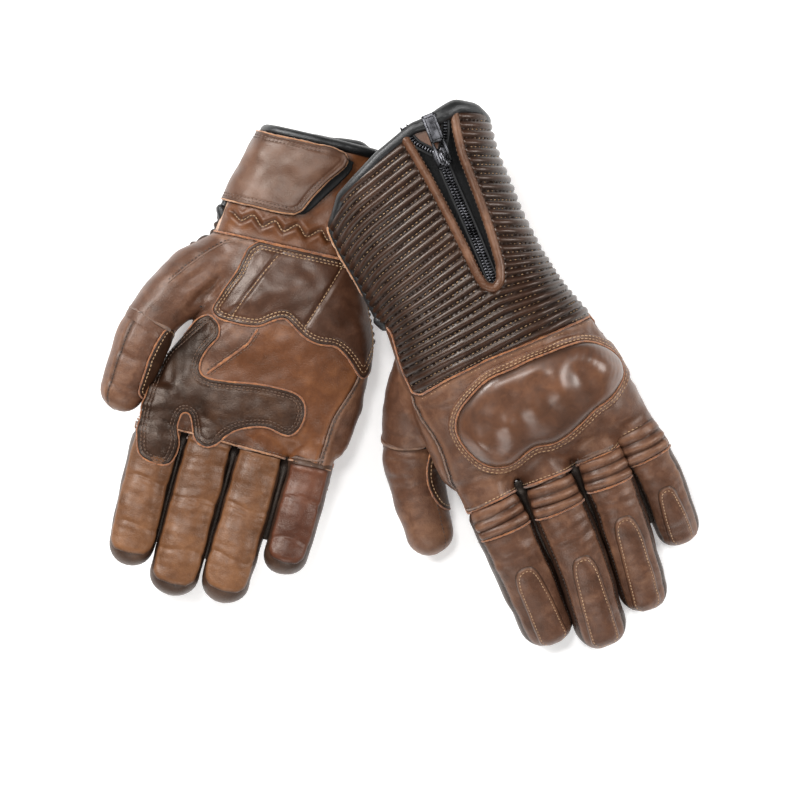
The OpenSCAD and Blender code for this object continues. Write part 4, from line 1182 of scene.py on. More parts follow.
        def row(path, off, pitch=1.5, start=0.0):
            d = run_along(path)
            at = np.arange(start, d[-1], pitch)
            p = np.stack([np.interp(at, d, path[:, 0]), np.interp(at, d, path[:, 1])], 1)
            t = unit(np.stack([np.interp(at, d, np.gradient(path[:, k], d)) for k in (0, 1)], 1))
            b = np.stack([-t[:, 1], t[:, 0]], 1)
            for pi, ti, bi in zip(p, t, b):
                c = pi + bi * off
                section = [(power(math.cos(a), 0.6), power(math.sin(a), 0.6)) for a in np.arange(8) * math.pi / 4]
                rows = [([c + bi * 1.25 * grow * ca + ti * 0.5 * grow * sa for ca, sa in section], z0 + lv)
                        for lv, grow in ((-0.6, 0.82), (-0.45, 1.0), (0.55, 1.0), (0.8, 0.72))]
                bits.add(*self.solid(rows))

        row(centre, 0.95)
        row(centre, -0.95, start=0.75)
        row(left, 0.0)
        row(right, 0.0)
        # the tape's woven cords beside the teeth
        for path, off in ((centre, 2.6), (centre, -2.6), (left, 1.7), (left, -1.7), (right, 1.7), (right, -1.7)):
            t = unit(np.gradient(path, axis=0))
            b = np.stack([-t[:, 1], t[:, 0]], 1)
            pts = self.on_zip(np.column_stack([path + b * off, np.full(len(path), z0 - 0.25)]))
            add_tube(bits, resampled(pts, np.tile(n_up, (len(pts), 1)), 1.2), mat=1, wide=0.6, high=0.45, ring=6)
        self.piece("zip_chain", bits.get(), ["coil", "tape"], ["zip_chain"])
        self.piece("zip_tip_stitches", thread.get(), ["thread_brown"])
        self.slider()

    def solid(self, rows):
        """A closed form from rows of (plan outline, height), rising, in the zip's frame."""
        ring = len(rows[0][0])
        v = np.concatenate([np.column_stack([np.array(outline), np.full(ring, z)]) for outline, z in rows])
        f = ring_quads(len(rows), ring)
        return self.on_zip(v), [q[::-1] for q in f] if UP[self.g] < 0 else f

    def slider(self):
        # a Y-shaped body: two shoulders at the top and a narrow tail
        plan = [(-4.6, -18.6), (-2.4, -17.8), (-0.9, -18.9), (0.7, -17.8), (2.9, -18.6), (3.3, -21.5), (1.9, -25.5),
                (1.4, -28.4), (-1.5, -28.9), (-4.4, -28.4), (-4.7, -25.5), (-5.2, -21.5)]
        c = np.array((-1.3, -23.2))
        bits = Bits()
        bits.add(*self.solid([(c + (curve(plan, 4, True) - c) * shrink, z) for shrink, z in (
            (0.9, -1.2), (1.0, -0.8), (1.0, 1.5), (0.93, 2.0), (0.8, 2.25))]))
        # the bridge that holds the pull
        arch = np.array([(-0.3, y, z) for y, z in ((-20.2, 1.9), (-20.3, 3.6), (-21.5, 4.9), (-24.0, 5.3),
                                                   (-26.8, 5.2), (-28.3, 4.1), (-28.6, 1.9))])
        pts = self.on_zip(curve(arch, 4))
        line = resampled(pts, np.tile([1.0, 0, 0], (len(pts), 1)), 0.5, ease=0)
        add_tube(bits, line, wide=0.5, high=1.0, ring=10)
        self.piece("zip_slider", bits.get(), ["metal"], ["zip_slider"], body=f"{self.name}_slider",
                   angle=40)
        # the pull: a bar with a recessed window, laid over the slider to the rim
        bits = Bits()

        def bar(x0, x1, y0, y1, z0, z1, r, steps=5):
            corners = [(x1 - r, y1 - r, 0), (x0 + r, y1 - r, 90), (x0 + r, y0 + r, 180), (x1 - r, y0 + r, 270)]
            base = [(cx, cy, math.radians(a0 + 90 * k / (steps - 1)))
                    for cx, cy, a0 in corners for k in range(steps)]
            return [([(cx + (r - inset) * math.cos(a), cy + (r - inset) * math.sin(a)) for cx, cy, a in base], z)
                    for inset, z in ((0.35, z0), (0.0, z0 + 0.3), (0.0, z1 - 0.35), (0.4, z1))]
        x0, x1, y0, y1, z0, z1 = -3.6, 3.6, -27.4, -0.6, 3.05, 4.65
        for rows, mat in ((bar(x0, x0 + 1.6, y0, y1, z0, z1, 0.7), 0), (bar(x1 - 1.6, x1, y0, y1, z0, z1, 0.7), 0),
                          (bar(x0, x1, y1 - 1.9, y1, z0, z1, 0.9), 0), (bar(x0, x1, -15.5, -13.8, z0, z1, 0.6), 0),
                          (bar(x0, x1, y0, y0 + 1.8, z0, z1, 0.8), 0),
                          (bar(x0 + 0.9, x1 - 0.9, -15, y1 - 1.2, z0 + 0.3, z0 + 1.05, 0.5), 1)):
            bits.add(*self.solid(rows), mat)
        self.piece("zip_puller", bits.get(), ["metal", "coil"], ["zip_puller"],
                   body=f"{self.name}_puller", angle=40)

    # ------------------------------------------------ seams, guard, patches and strap
    def seam_trim(self, name, lines, double=(), edge="edge", wide=0.55, high=0.5, lift=0.35, thread="thread_tan"):
        """A raw leather edge along lines, with rows of stitches beside it: double holds (side, lift)."""
        bits = Bits()
        for i, line in enumerate(lines):
            add_tube(bits, line, wide=wide, high=high, lift=lift, ring=7, rough=0.28, seed=5 + i)
            for side, rise in double:
                stitches(bits, line, pitch=2.2, long=2.2 * 0.66, thick=0.27, lift=rise, side=side, mat=1,
                         seed=5 + i)
        if bits.count:
            self.piece(name, bits.get(), [edge, thread], angle=80)

    def guard(self):
        """The knuckle guard's frame, its domed shell and their seams."""
        s = self.skin
        q = s.below("guard", 6).finer()
        fr = q.inside("guard", 4.4, trim=(0.35, 0.9))
        d = 4.4 - fr.a["guard"]
        top = edge_profile(d, 1.25, 0.35, 0.9) - 0.45 * np.exp(-((d - 4.0) / 0.9) ** 2)
        v, f, m = shell(fr, top, 0.03)
        # painted shade on the frame along the dome's edge
        self.piece("guard_frame", (v, f, m), ["brown", "edge"],
                   fields={"dirt_and_shade": on_top(np.exp(-((d - 4.2) / 0.8) ** 2) * 0.8)})
        dm = q.inside("guard", 0.0, trim=(0.35, 0.9, 1.8))
        d = -dm.a["guard"]
        p = dm.v[:, :2]
        t = np.clip(d / 13.0, 0, 1)
        h = 6.3 * (1 - (1 - t) ** 2.2) ** (1 / 2.0)
        knuckles = back_plan(self.g, [(-25, 22), (-10, 26), (5, 30), (20, 34), (41, 35)])
        for c, a, r in zip(knuckles, (2.6, 2.7, 2.7, 3.0, 2.4), (6.6, 6.4, 6.4, 7.6, 7.6)):
            h += a * np.exp(-(((p - c) / np.array([r, r * 1.25])) ** 2).sum(1)) * smooth(0, 8, d)
        hollows = back_plan(self.g, [(-17, 33), (-3, 38), (12, 41), (31, 38), (35, 26)])
        for c, a, r in zip(hollows, (.9, .9, .9, 1.5, .9), (5, 5, 5, 5.5, 5)):
            h -= a * np.exp(-(((p - c) / r) ** 2).sum(1)) * smooth(0, 8, d)
        h += 0.12 * waves(dm.v, 16, 44) * smooth(1, 5, d)
        if self.g == RIGHT:        # it lies under its own glove, pressed flatter
            h = 0.62 * np.minimum(h, 5.4)
        v, f, m = shell(dm, 0.9 + h, 0.3)
        # paler dome tops: rubbing with painted highlights; darker rim: painted shade at the dome's edge
        wear_and_sheen = 0.35 * smooth(0.6, 1.0, h / h.max())
        dirt_and_shade = np.exp(-(d / 1.6) ** 2)
        self.piece("knuckle_guard", (v, f, m), ["guard", "inner"], ["knuckle_guard"],
                   fields={"wear_and_sheen": on_top(wear_and_sheen), "dirt_and_shade": on_top(dirt_and_shade)}, angle=70)
        bits = Bits()
        for line in q.lines("guard", 0.5, least=60)[:1]:
            add_tube(bits, line, wide=0.55, high=0.5, lift=1.55, ring=8, rough=0.22, seed=3)
        for level, seed in ((1.9, 1), (3.3, 2)):
            for line in q.lines("guard", level, least=60)[:1]:
                stitches(bits, line, pitch=2.3, long=1.55, thick=0.27, lift=1.22, mat=1, seed=seed)
        self.piece("guard_trim", bits.get(), ["edge", "thread_tan"], angle=80)

    def patches(self):
        """The heel pad and the dark palm patch, whose tongue and lobe follow the index and middle fingers."""
        g, s = self.g, self.skin
        for key, node, mat, full, dome, fill in (("heel", "heel_pad", "heel", 1.15, 1.7, 0.6),
                                                 ("patch", "palm_patch", "dark", 1.05, 0.25, 0.25)):
            q = s.below(key, 4).finer()
            q.a["cut"] = np.maximum(q.a[key], np.maximum(q.a["w"] * 25 + 1, q.a["wrist"] * -1 + 0.6)) \
                if key == "heel" else np.maximum(q.a[key], q.a["w"] * 25 - 2)
            q.v = q.v + q.n * (1.35 * smooth(-1, 6, q.a["root"]))[:, None]
            q2 = q.inside("cut", 0.0, trim=(0.35, 0.9, 1.8))
            d = -q2.a["cut"]
            top = edge_profile(d, full, 0.35, 1.0) + dome * smooth(1, 16, d) + 0.2 * waves(q2.v, 17, 61)
            top -= 0.3 * np.exp(-((d - 2.0) / 0.7) ** 2) + 0.3 * np.exp(-((d - 3.5) / 0.7) ** 2)
            extra = []
            if key == "heel":
                for pts in ([(13, 102), (4, 82), (-3, 64), (-5, 58)], [(45, 102), (40, 84), (35, 68), (33, 62)]):
                    pl = palm_plan(g, pts)
                    near = segments_distance(q2.v[:, :2], curve(pl, 4), False)
                    top -= 0.9 * np.exp(-(near / 1.3) ** 2) * smooth(1, 4, d)
                    extra.append(pl)
            else:
                fold = waves(q2.v @ np.array([[1.0, 0.5, 0], [0.2, 0.25, 0], [0, 0, 0.3]]), 9, 12)
                top += 0.13 * fold * smooth(2, 6, d)
            q2.a["top"] = top
            zones = [("", None, None)]
            if key == "patch":
                zones = [("", "root", None), ("_on_index", "tongue", f"{self.name}_index"),
                         ("_on_middle", "lobe", f"{self.name}_middle")]
                for z in (q, q2):
                    split_x = palm_plan(g, [(-9.5, 0)])[0, 0]
                    z.a["tongue"] = np.maximum(-z.a["root"], z.v[:, 0] - split_x)
                    z.a["lobe"] = np.maximum(-z.a["root"], split_x - z.v[:, 0])
            for tail, field, finger in zones:
                part, edge = q2, q
                if field:
                    part = q2.inside(field, 0.0)
                    edge = q.below(field, 1.5)
                bend = self.finger_bend(FINGERS.index(tail[4:])) if finger else None
                v, f, m = shell(part, part.a["top"], 0.03)
                # darker cut edge: the seam's own dark with painted shade
                dirt_and_shade = np.exp(-(part.a["cut"] / 1.4) ** 2)
                # painted shadow: the palm patch darkened round a spot near the thumb, where the thumb shades it
                if key == "patch":
                    near = np.linalg.norm(part.v[:, :2] - palm_plan(g, [(-26, 36)])[0], axis=1)
                    dirt_and_shade = np.maximum(dirt_and_shade, 0.95 * np.exp(-(near / 15) ** 2))
                self.piece(node + tail, (v, f, m), [mat, "edge"], [node],
                           fields={"dirt_and_shade": on_top(dirt_and_shade)}, bend=bend)
                bits = Bits()
                ok = np.ones(len(edge.v), bool) if not field else edge.a[field] < 0
                for line in edge.lines("cut", 0.15, ok, least=8):
                    add_tube(bits, line, wide=0.52, high=0.45, lift=0.65, ring=7, rough=0.3, seed=6)
                for level in (-2.0, -3.5):
                    for line in edge.lines("cut", level, ok, least=8):
                        stitches(bits, line, pitch=2.1, long=1.45, thick=0.27, lift=full + 0.12, mat=1)
                for pl in extra:
                    line = self.drape(Skin(v[:len(part.v)], part.f), pl, -1)
                    if line:
                        stitches(bits, line, pitch=2.2, long=1.5, thick=0.27, lift=0.1, mat=1)
                if bits.count:
                    sewn = "thread_brown" if key == "patch" else "thread_tan"
                    self.piece(node + tail + "_trim", bits.get(), ["edge", sewn], angle=80, bend=bend)

    def finger_bend(self, k):
        """The hand, finger k's body and the two ends of the length where the finger bends, given with a piece that
        starts on the hand.
        """
        st = np.array(DIGITS[self.g][k], float)
        head = unit(np.array([*(st[1] - st[0])[:2], 0.0]))
        reach = head * FINGER_BEND
        return self.hand, f"{self.name}_{FINGERS[k]}", tuple(st[1, :3] - reach), tuple(st[1, :3] + reach)

    def webs(self):
        """Gussets that close the deep gaps between the roots of neighbouring fingers, near black as painted shade in
        those gaps.
        """
        g = self.g
        for k in range(3):
            y = np.linspace(-5.0, (-66.0, -68.0, -50.0)[k], 41)
            edge = []
            for j, sign in ((k, 1), (k + 1, -1)):
                _, t = digit_path(g, j, 1.5)
                x, z, hw = (np.interp(-y, -t[:, 1], t[:, c]) for c in (0, 2, 3))
                edge.append((x + sign * (hw - 1.0), z))
            (x0, z0), (x1, z1) = edge
            half = np.maximum((x1 - x0) / 2, 0.5) + 1.7 * smooth(-19, -11, y)
            tall = 6.0 - 4.0 * smooth(-24, -64, y) - 2.5 * smooth(-11, -5, y)
            low = 2.0 if g == LEFT else 0.0
            a = np.arange(16) / 16 * 2 * math.pi
            c, q = power(np.cos(a), 0.6), power(np.sin(a), 0.6)
            v = np.stack([((x0 + x1) / 2)[:, None] + c * half[:, None], np.repeat(y[:, None], 16, 1),
                          ((z0 + z1) / 2 - low)[:, None] + q * tall[:, None]], 2).reshape(-1, 3)
            f = outward(v, grid_faces(len(y), 16))
            self.piece(f"{FINGERS[k]}_gusset", (v, f, np.zeros(len(f), int)), ["gusset"],
                       bend=self.finger_bend(k))

    def seams(self):
        """Raw edges and stitches where panels meet."""
        g, s = self.g, self.skin
        w, y, cuff, off = s.a["w"], s.v[:, 1], s.a["cuff"], s.a["off"]
        # quilt to hand
        self.seam_trim("back_seam", s.lines("cuff", -0.1, (w > 0.08) & (y < 92), least=12), wide=0.6, lift=0.45)
        bits = Bits()
        for level, mask, lift in ((2.0, s.a["pd"] > 1.5, 0.12), (-1.6, True, 0.6)):
            for line in s.lines("cuff", level, (w > 0.15) & (y < 88) & mask, least=8):
                stitches(bits, line, pitch=2.2, long=1.4, thick=0.26, lift=lift)
        self.piece("back_stitches", bits.get(), ["thread_tan"], angle=80)
        mask = (cuff > 1.0) & (s.a["wrist"] > 0.5) & (off < -0.5)
        self.seam_trim("side_seams", s.lines("pd", 0.0, mask, least=12), ((1.3, 0.12),), "inner", wide=0.5, lift=0.1,
                       thread="thread_dark")
        self.seam_trim("wrist_seam", s.lines("wrist", 0.0, w < -0.05, least=12), wide=0.6, lift=0.4)
        # edge of the panel let into the palm
        mask = ((w < -0.2) & (s.a["heel"] > 1.0) & (s.a["patch"] > 1.0) & (off < -1) & (y > -4) & (s.a["pd"] < -2)
                & (s.v[:, 0] < palm_plan(g, [(20, 50)])[0, 0]))
        self.seam_trim("palm_seam", s.lines("orange", 0.0, mask, least=8), ((1.6, 0.15), (-1.6, 0.15)), wide=0.7,
                       thread="thread_brown")
        # zigzag smocking thread
        bits = Bits()
        stitches(bits, self.drape(self.palm_cuff_skin, self.zig, -1, per=3), pitch=1.9, long=1.5, thick=0.28,
                 lift=-0.55)
        self.piece("smocking", bits.get(), ["thread_tan"])
        # round the finger roots
        self.seam_trim("root_seams", s.lines("root", 0.0, w > -0.25, least=5), ((-1.4, 0.1),), lift=0.3)
        self.seam_trim("palm_root_seams", s.lines("root", 0.0, w < -0.3, least=5), ((-1.4, 0.1),), "edge_pale",
                       high=0.45, lift=0.2, thread="thread_brown")
        # from the wrist over the ball of the thumb
        ends = [(-30, 84), (-38, 72)] if g == LEFT else [(-33, 80), (-42, 67)]
        line = self.drape(self.body_skin, palm_plan(g, [(-4.5, 100), (-19, 95)] + ends), -1)
        self.seam_trim("thenar_seam", [line], ((1.2, 0.1),), "inner", wide=0.4, high=0.4, lift=0.05,
                       thread="thread_dark")

    def strap(self):
        """The wrist strap with the hook patch under its tab, and the loop patch on the cuff."""
        g, s = self.g, self.skin
        shift = np.array(STRAP_SHIFT[g])
        p = s.v[:, :2]
        outline = np.array(STRAP, float) + shift
        fold = STRAP_FOLD[g]
        face = np.where(s.a["w"] < (0.55 if g else -0.12), -50.0, 50.0)
        s.a["strap"] = np.maximum(inside_distance(p, outline), face)
        s.a["hook"] = np.maximum(inside_distance(p, curve(np.array(HOOK, float) + shift, 2, True)), face)
        around = s.below("strap", 3).finer()
        q = around.inside("strap", 0.0, trim=(0.35, 0.9))
        d = -q.a["strap"]
        free = smooth(fold + 14, fold + 42, q.v[:, 0])
        top = edge_profile(d, 3.75, 3.2, 0.6) + 0.5 * free + 0.12 * waves(q.v, 14, 31)
        top -= 0.28 * np.exp(-((d - 1.9) / 0.6) ** 2) + 0.28 * np.exp(-((d - 3.3) / 0.6) ** 2)
        mid_y = float(outline[:, 1].mean())
        bend = (self.hand, f"{self.name}_strap", (fold - 5.0, mid_y, 30.0), (fold + 5.0, mid_y, 30.0))
        v, f, m = shell(q, top, 2.0 + 0.5 * free)
        # darker cut edge: painted shade; paler flat top: rubbing with painted sheen
        dirt_and_shade = np.exp(-(d / 1.2) ** 2) * 0.7
        wear_and_sheen = 0.35 * smooth(3, 9, d)
        self.piece("wrist_strap", (v, f, m), ["strap", "edge"], ["wrist_strap", "strap_base"],
                   bend=bend, fields={"dirt_and_shade": on_top(dirt_and_shade), "wear_and_sheen": on_top(wear_and_sheen)}, angle=60)
        bits = Bits()
        for line in around.lines("strap", 0.0, least=20)[:1]:
            add_tube(bits, line, wide=0.6, high=0.85, lift=2.95, ring=7, rough=0.25, seed=8)
        for level in (-1.9, -3.3):
            for line in around.lines("strap", level, least=20)[:1]:
                stitches(bits, line, pitch=2.0, long=1.35, thick=0.25, lift=3.72, mat=1)
        self.piece("strap_trim", bits.get(), ["edge_pale", "thread_brown"], bend=bend, angle=80)
        q = s.below("hook", 3).finer()
        self.piece("hook_patch", shell(q.inside("hook"), 1.9, 1.0, wall=0), ["hook"], ["hook_patch"],
                   bend=bend)
        self.piece("loop_patch", shell(q.inside("hook", 0.6), 0.88, 0.05, wall=0), ["hook"],
                   ["loop_patch"])

    # ------------------------------------------------ digits
    @staticmethod
    def outlined(q, key, across, outline, ok):
        """The part of a digit's skin inside an outline in (t, across): the skin round it, the part and its depth."""
        q.a[key] = np.where(ok, inside_distance(np.stack([q.a["t"], q.a[across]], 1), outline), 40.0)
        around = q.below(key, 3).finer()
        z = around.inside(key, trim=(0.35, 0.9))
        return around, z, -z.a[key]

    def digit(self, k):
        """A finger's or the thumb's tube and everything on it. The skin's fields are t, the length along it from
        its base over the round tip; L, P and A, the distance round it from the middle of its back, of its palm side
        and of the side at angle 0; side and line, the distance round to where its seams run."""
        g, thumb = self.g, k == THUMB
        name = (FINGERS + ["thumb"])[k]
        st = np.array(DIGITS[g][k], float)
        run = run_along(st[:, :2])
        hinge = 2 if thumb else 1
        hs = run[hinge]
        start = hs - (7 if thumb else (21 if k < 3 else 17))
        q = digit_form(g, k, ring=60, step=1.1, start=start, plump=hs)
        q = q.only(q.a["s"][q.f].max(1) > start + 1e-6)
        q.n = vertex_normals(q.v, q.f)
        along_s, ang = q.a["s"], q.a["ang"]
        reach = st[-1, 3]
        beyond = np.clip((along_s - run[-1]) / reach, 0, 1)
        q.a["t"] = t = np.where(along_s > run[-1], run[-1] + reach * np.arcsin(beyond), along_s)
        end = run[-1] + reach * math.pi / 2
        hw, ht = (np.interp(np.minimum(along_s, run[-1]), run, st[:, c]) for c in (3, 4))
        r = (hw + ht) / 2 * np.sqrt(np.clip(1 - beyond ** 2, 0.0025, 1))
        turn = wrapped(math.pi / 2 - ang)
        q.a["L"] = turn * r
        q.a["P"] = wrapped(ang - 3 * math.pi / 2) * r
        q.a["A"] = wrapped(ang) * MEAN_RADIUS
        q.a["side"] = (np.abs(turn) - math.radians(FINGER_SEAM)) * MEAN_RADIUS
        # tucked under the hand's leather up to the root's cut
        root_cut = hs + 1.0 if thumb else hs - (12.5 if k < 3 else 12.0)
        out = smooth(hs - 4.0, hs + 7.0, t) if thumb else smooth(root_cut - 1.5, root_cut + 3.0, t)
        q.a["tuck"] = (1.9 + 2.6 * smooth(start + 4.5, start, t)) * (1 - out)
        # folds across the back and the palm side, and the seams' grooves
        seed = 100 * g + 10 * k
        back, palm = smooth(0.1, 0.7, np.sin(ang)), smooth(0.1, 0.7, -np.sin(ang))
        h = -q.a["tuck"] + 0.28 * waves(q.v, 19, seed + 1)
        cross_fold = waves(np.stack([t * 1.0, q.a["L"] * 0.22, q.a["L"] * 0], 1), 5.5, seed + 2)
        pad_t = end if thumb else hs + (st[hinge, 1] - PAD_TOP[g][k])
        soft = np.exp(-((t - hs - 8) / 10) ** 2) if thumb else np.exp(-((t - (hs + pad_t) / 2) / 8) ** 2)
        h += back * (0.34 * soft + 0.07) * cross_fold
        tip_calm = 1 - smooth(end - 14, end - 4, t)
        for at, wide, deep in ((0.33, 1.2, 0.45), (0.36, 0.9, 0.3), (0.64, 1.3, 0.4)):
            c = root_cut + (end - root_cut) * at + 1.2 * np.sin(q.a["P"] * 0.25 + seed)
            h -= palm * deep * np.exp(-((t - c) / wide) ** 2)
        h += palm * 0.08 * cross_fold * tip_calm
        if thumb:
            q.a["line"] = line = wrapped(ang - math.radians(THUMB_SEAM)) * MEAN_RADIUS
            h += -0.55 * np.exp(-(line / 0.7) ** 2) * tip_calm + 0.3 * np.exp(-((np.abs(line) - 1.8) / 1.0) ** 2)
        else:
            q.a["line"] = line = q.a["side"]
            h += smooth(root_cut + 2, root_cut + 6, t) * tip_calm * (
                -0.6 * np.exp(-(line / 0.7) ** 2) + 0.35 * np.exp(-((line + 1.9) / 1.0) ** 2))
        q.v = q.v + q.n * h[:, None]
        q.n = vertex_normals(q.v, q.f)
        if thumb:
            head = unit(np.array([*(st[3] - st[1])[:2], 0.0])) * THUMB_BEND
            mid = st[2, :3]
            bend = (self.hand, f"{self.name}_thumb_tip", tuple(mid - head), tuple(mid + head))
        else:
            bend = self.finger_bend(k)
        # the tube itself: back leather, and darker side strips on a finger
        skin = q if thumb else q.split("side")
        v, f, m = shell(skin, 0.0, -LEATHER)
        if not thumb:
            m[:len(skin.f)] = np.where(skin.a["side"][skin.f].mean(1) > 0, 2, 0)
        line = skin.a["line"]
        # paler tip and band beside the seam: rubbing with painted sheen; darker along the seam: painted shade in its
        # groove
        wear_and_sheen = 0.55 * smooth(end - 13, end - 3, skin.a["t"]) + 0.3 * np.exp(-((line + 2.2) / 1.0) ** 2)
        node = "thumb" if thumb else f"{name}_finger"
        self.piece(node, (v, f, m), ["brown", "inner", "side"], [node], bend=bend,
                   fields={"dirt_and_shade": on_top(np.exp(-(line / 1.0) ** 2)), "wear_and_sheen": on_top(np.clip(wear_and_sheen, 0, 1))})
        trim = Bits()
        for line in q.lines("line", 0.0, (t > root_cut + 3) & (t < end - 6), least=12):
            stitches(trim, line, pitch=2.1, long=1.35, thick=0.26, lift=0.0, mat=1, seed=seed)
        if thumb:
            self.thumb_patch(q, hs, trim, bend, seed)
        else:
            self.pleats(q, name, hs, trim, bend, seed)
            self.finger_pad(q, k, pad_t, end, trim, bend, seed)
            self.finger_palm(q, k, hs + st[1, 1] + 7.2, end, trim, bend, seed)
        self.piece(f"{name}_trim", trim.get(), ["edge", "thread_dark", "thread_tan"], bend=bend,
                   angle=80)

    def pleats(self, q, name, hs, trim, bend, seed):
        """Three pleats behind a finger, and the raw edge that ends them."""
        half, first = DORSAL_HALF * 0.98, hs - PLEATS + 0.4
        q.a["pleat"] = np.maximum(np.abs(q.a["L"]) - half, np.abs(q.a["t"] - (hs - PLEATS / 2 + 0.4)) - PLEATS / 2)
        z = q.below("pleat", 2).finer().inside("pleat")
        ridge = np.abs(np.sin(3 * math.pi * np.clip((z.a["t"] - first) / PLEATS, 0, 1)))
        uneven = 1 + 0.15 * waves(z.v, 9, seed + 4)
        base = z.a["tuck"]
        top = 0.35 + base + 1.7 * ridge ** 0.62 * uneven * (0.35 + 0.65 * smooth(0, 3, half - np.abs(z.a["L"])))
        # darker pleat troughs: painted shade; paler ridges: rubbing with painted highlight
        self.piece(f"{name}_pleats", shell(z, top, base * 0.5 + 0.02, wall=0), ["brown"],
                   ["stretch_panels"], bend=bend,
                   fields={"dirt_and_shade": on_top(smooth(0.5, 0.0, ridge)), "wear_and_sheen": on_top(0.45 * smooth(0.8, 1, ridge))})
        for line in q.lines("t", hs + 0.9, np.abs(q.a["L"]) < DORSAL_HALF + 1, least=8)[:1]:
            add_tube(trim, line, wide=0.6, high=0.55, lift=0.45, ring=7, rough=0.3, seed=seed + 3)
            stitches(trim, line, pitch=2.1, long=1.4, thick=0.26, lift=0.1, side=1.7, mat=2)

    def finger_pad(self, q, k, lo, end, trim, bend, seed):
        """The topstitched pad on a finger's back."""
        hi = end - 9.5
        half = np.array([(lo + 1, 3.2), (lo + 5, 5.2), (lo + 14, 6.3), (hi - 8, 6.9), (hi - 3, 6.0), (hi - 0.3, 3)])
        outline = np.vstack([[(lo, 0)], half * (1, -1), [(hi, 0)], half[::-1]])
        if k == 3:
            outline[:, 1] *= 0.86
        around, z, d = self.outlined(q, "pad", "L", curve(outline, 3, True), np.sin(q.a["ang"]) > -0.2)
        top = 0.1 + 1.25 * smooth(0, 1.6, d) + 0.25 * smooth(2, 6, d) - 0.35 * np.exp(-((d - 1.9) / 0.55) ** 2)
        name = f"{FINGERS[k]}_pad"
        # paler rounded rim inside the pad's edge: rubbing with painted highlight; darker edge: painted shade
        self.piece(name, shell(z, top, 0.02, wall=0), ["brown"], [name], bend=bend,
                   fields={"wear_and_sheen": on_top(0.5 * np.exp(-((d - 1.0) / 0.7) ** 2)),
                           "dirt_and_shade": on_top(np.exp(-(d / 0.8) ** 2))})
        for line in around.lines("pad", -1.9, least=20)[:1]:
            stitches(trim, line, pitch=2.0, long=1.3, thick=0.25, lift=1.05, mat=2, seed=seed)

    def finger_palm(self, q, k, lo, end, trim, bend, seed):
        """Paler leather let into a finger's palm side."""
        half, hi = (13.4, 13.0, 12.6, 11.2)[k], end - 12.0
        side = np.array([(lo, half), (hi - 12, half), (hi - 5, half * 0.9), (hi - 1.2, half * 0.55)])
        outline = np.vstack([side * (1, -1), [(hi, 0)], side[::-1]])
        around, z, d = self.outlined(q, "inset", "P", outline, np.sin(q.a["ang"]) < 0.3)
        tuck = z.a["tuck"]
        top = edge_profile(d, 0.75, -0.25, 1.2) + 0.3 * np.exp(-((d - 2.4) / 1.2) ** 2) + tuck
        # paler bulge inside the edge: rubbing with painted highlight; darker cut edge: painted shade
        self.piece(f"{FINGERS[k]}_palm", shell(z, top, -0.5 + 0.6 * tuck, wall=0), ["red" if k == 3 else "ochre"],
                   bend=bend, fields={"dirt_and_shade": on_top(np.exp(-(d / 1.0) ** 2)),
                                                     "wear_and_sheen": on_top(0.4 * np.exp(-((d - 2.2) / 1.0) ** 2))})
        for line in around.lines("inset", -0.55, around.a["t"] > lo + 1.0, least=20)[:1]:
            stitches(trim, line, pitch=1.9, long=1.35, thick=0.3, lift=0.25, mat=1, seed=seed)

    def thumb_patch(self, q, hs, trim, bend, seed):
        """The dark patch that takes the rubbing, on the thumb's side towards the index finger."""
        lo, hi = hs - 4, hs + 38
        outline = curve([(lo, -9), (lo + 6, 9), (lo + 16, 14), (lo + 26, 15), (hi - 5, 12), (hi, 5), (hi, -6),
                         (hi - 5, -11), (lo + 14, -13)], 3, True)
        around, z, d = self.outlined(q, "pad", "A", outline, np.abs(q.a["A"]) < 28)
        # darker cut edge: the seam's own dark with painted shade
        self.piece("thumb_patch", shell(z, edge_profile(d, 1.1, 0.3, 0.9), 0.02), ["dark", "edge"],
                   ["thumb_patch"], bend=bend, fields={"dirt_and_shade": on_top(np.exp(-(d / 0.9) ** 2))})
        for line in around.lines("pad", 0.1, least=20)[:1]:
            add_tube(trim, line, wide=0.52, high=0.45, lift=0.6, ring=7, rough=0.3, seed=seed + 3)
        for line in around.lines("pad", -1.9, least=20)[:1]:
            stitches(trim, line, pitch=2.1, long=1.4, thick=0.26, lift=1.15, mat=2, seed=seed)


# ---------------------------------------------------------------- the pair

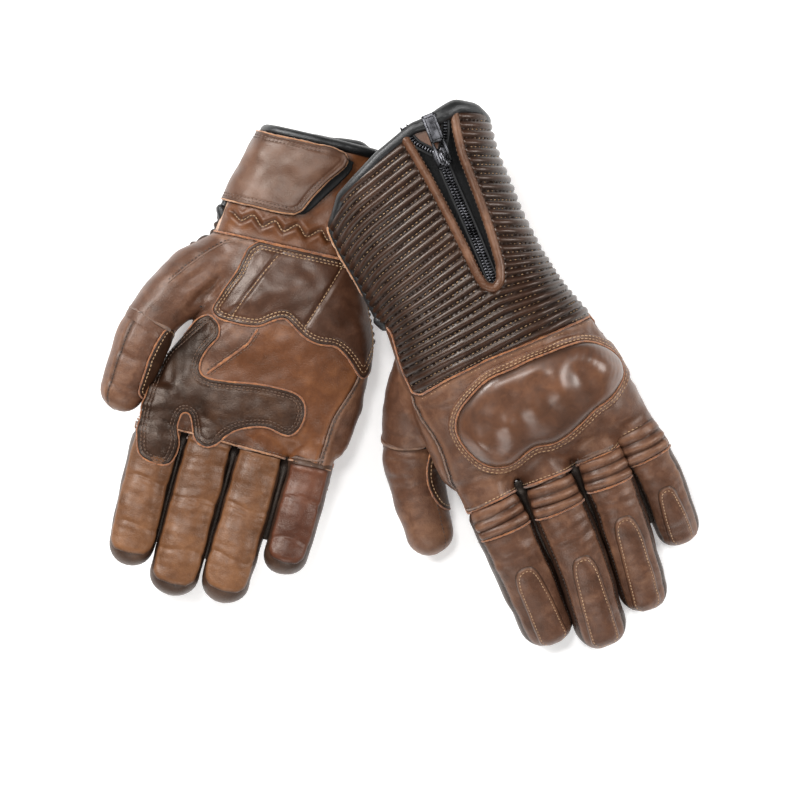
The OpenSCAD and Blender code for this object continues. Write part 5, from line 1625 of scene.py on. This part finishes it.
for side in (LEFT, RIGHT):
    glove = Glove(side)
    glove.hand_leather()
    glove.cuff()
    glove.zipper()
    glove.guard()
    glove.patches()
    glove.seams()
    glove.strap()
    glove.webs()
    for digit in range(5):
        glove.digit(digit)


# ---------------------------------------------------------------- floor, light and camera

def area_light(name, at, size, watts, aim):
    data = bpy.data.lights.new(name, "AREA")
    data.shape = "RECTANGLE"
    data.size, data.size_y = size
    data.energy = watts
    ob = linked(name, data)
    ob.location = at
    ob.rotation_euler = (Vector(aim) - Vector(at)).to_track_quat("-Z", "Y").to_euler()


def stage():
    me = bpy.data.meshes.new("floor")
    r = 6.0
    me.from_pydata([(-r, -r, -0.0005), (r, -r, -0.0005), (r, r, -0.0005), (-r, r, -0.0005)], [], [(0, 1, 2, 3)])
    floor = linked("floor", me)
    m = Nodes("floor_white")
    m.finish(Base_Color=m.ramp(m.noise(3, 2), (0.0, srgb("#f4f4f3")), (1.0, srgb("#fbfbfa"))), Roughness=0.9,
             Specular_IOR_Level=0.1, Emission_Color=(1.0, 1.0, 1.0, 1.0), Emission_Strength=0.35)
    me.materials.append(m.mat)
    world = bpy.data.worlds.new("studio")
    bpy.context.scene.world = world
    world.use_nodes = True
    bg = world.node_tree.nodes["Background"]
    bg.inputs["Color"].default_value = (1.0, 1.0, 1.0, 1.0)
    bg.inputs["Strength"].default_value = 0.2
    area_light("key", (-0.85, 0.6, 0.95), (0.5, 0.35), 20.0, aim=(0, 0.02, 0.03))
    area_light("fill", (1.0, 0.15, 0.8), (0.5, 0.5), 10.0, aim=(0, 0, 0.03))
    area_light("front", (-0.1, -0.95, 0.75), (0.8, 0.3), 5.0, aim=(0, -0.02, 0.03))
    area_light("top", (-0.2, 0.32, 1.5), (0.3, 0.22), 9.0, aim=(0, 0, 0.03))
    cam = bpy.data.cameras.new("camera")
    cam.sensor_width = 36.0
    cam.lens = 226.3
    ob = linked("camera", cam)
    ob.location = (-0.00005, -0.0117, 2.6)
    bpy.context.scene.camera = ob
    bpy.context.scene.view_settings.view_transform = "Standard"


stage()
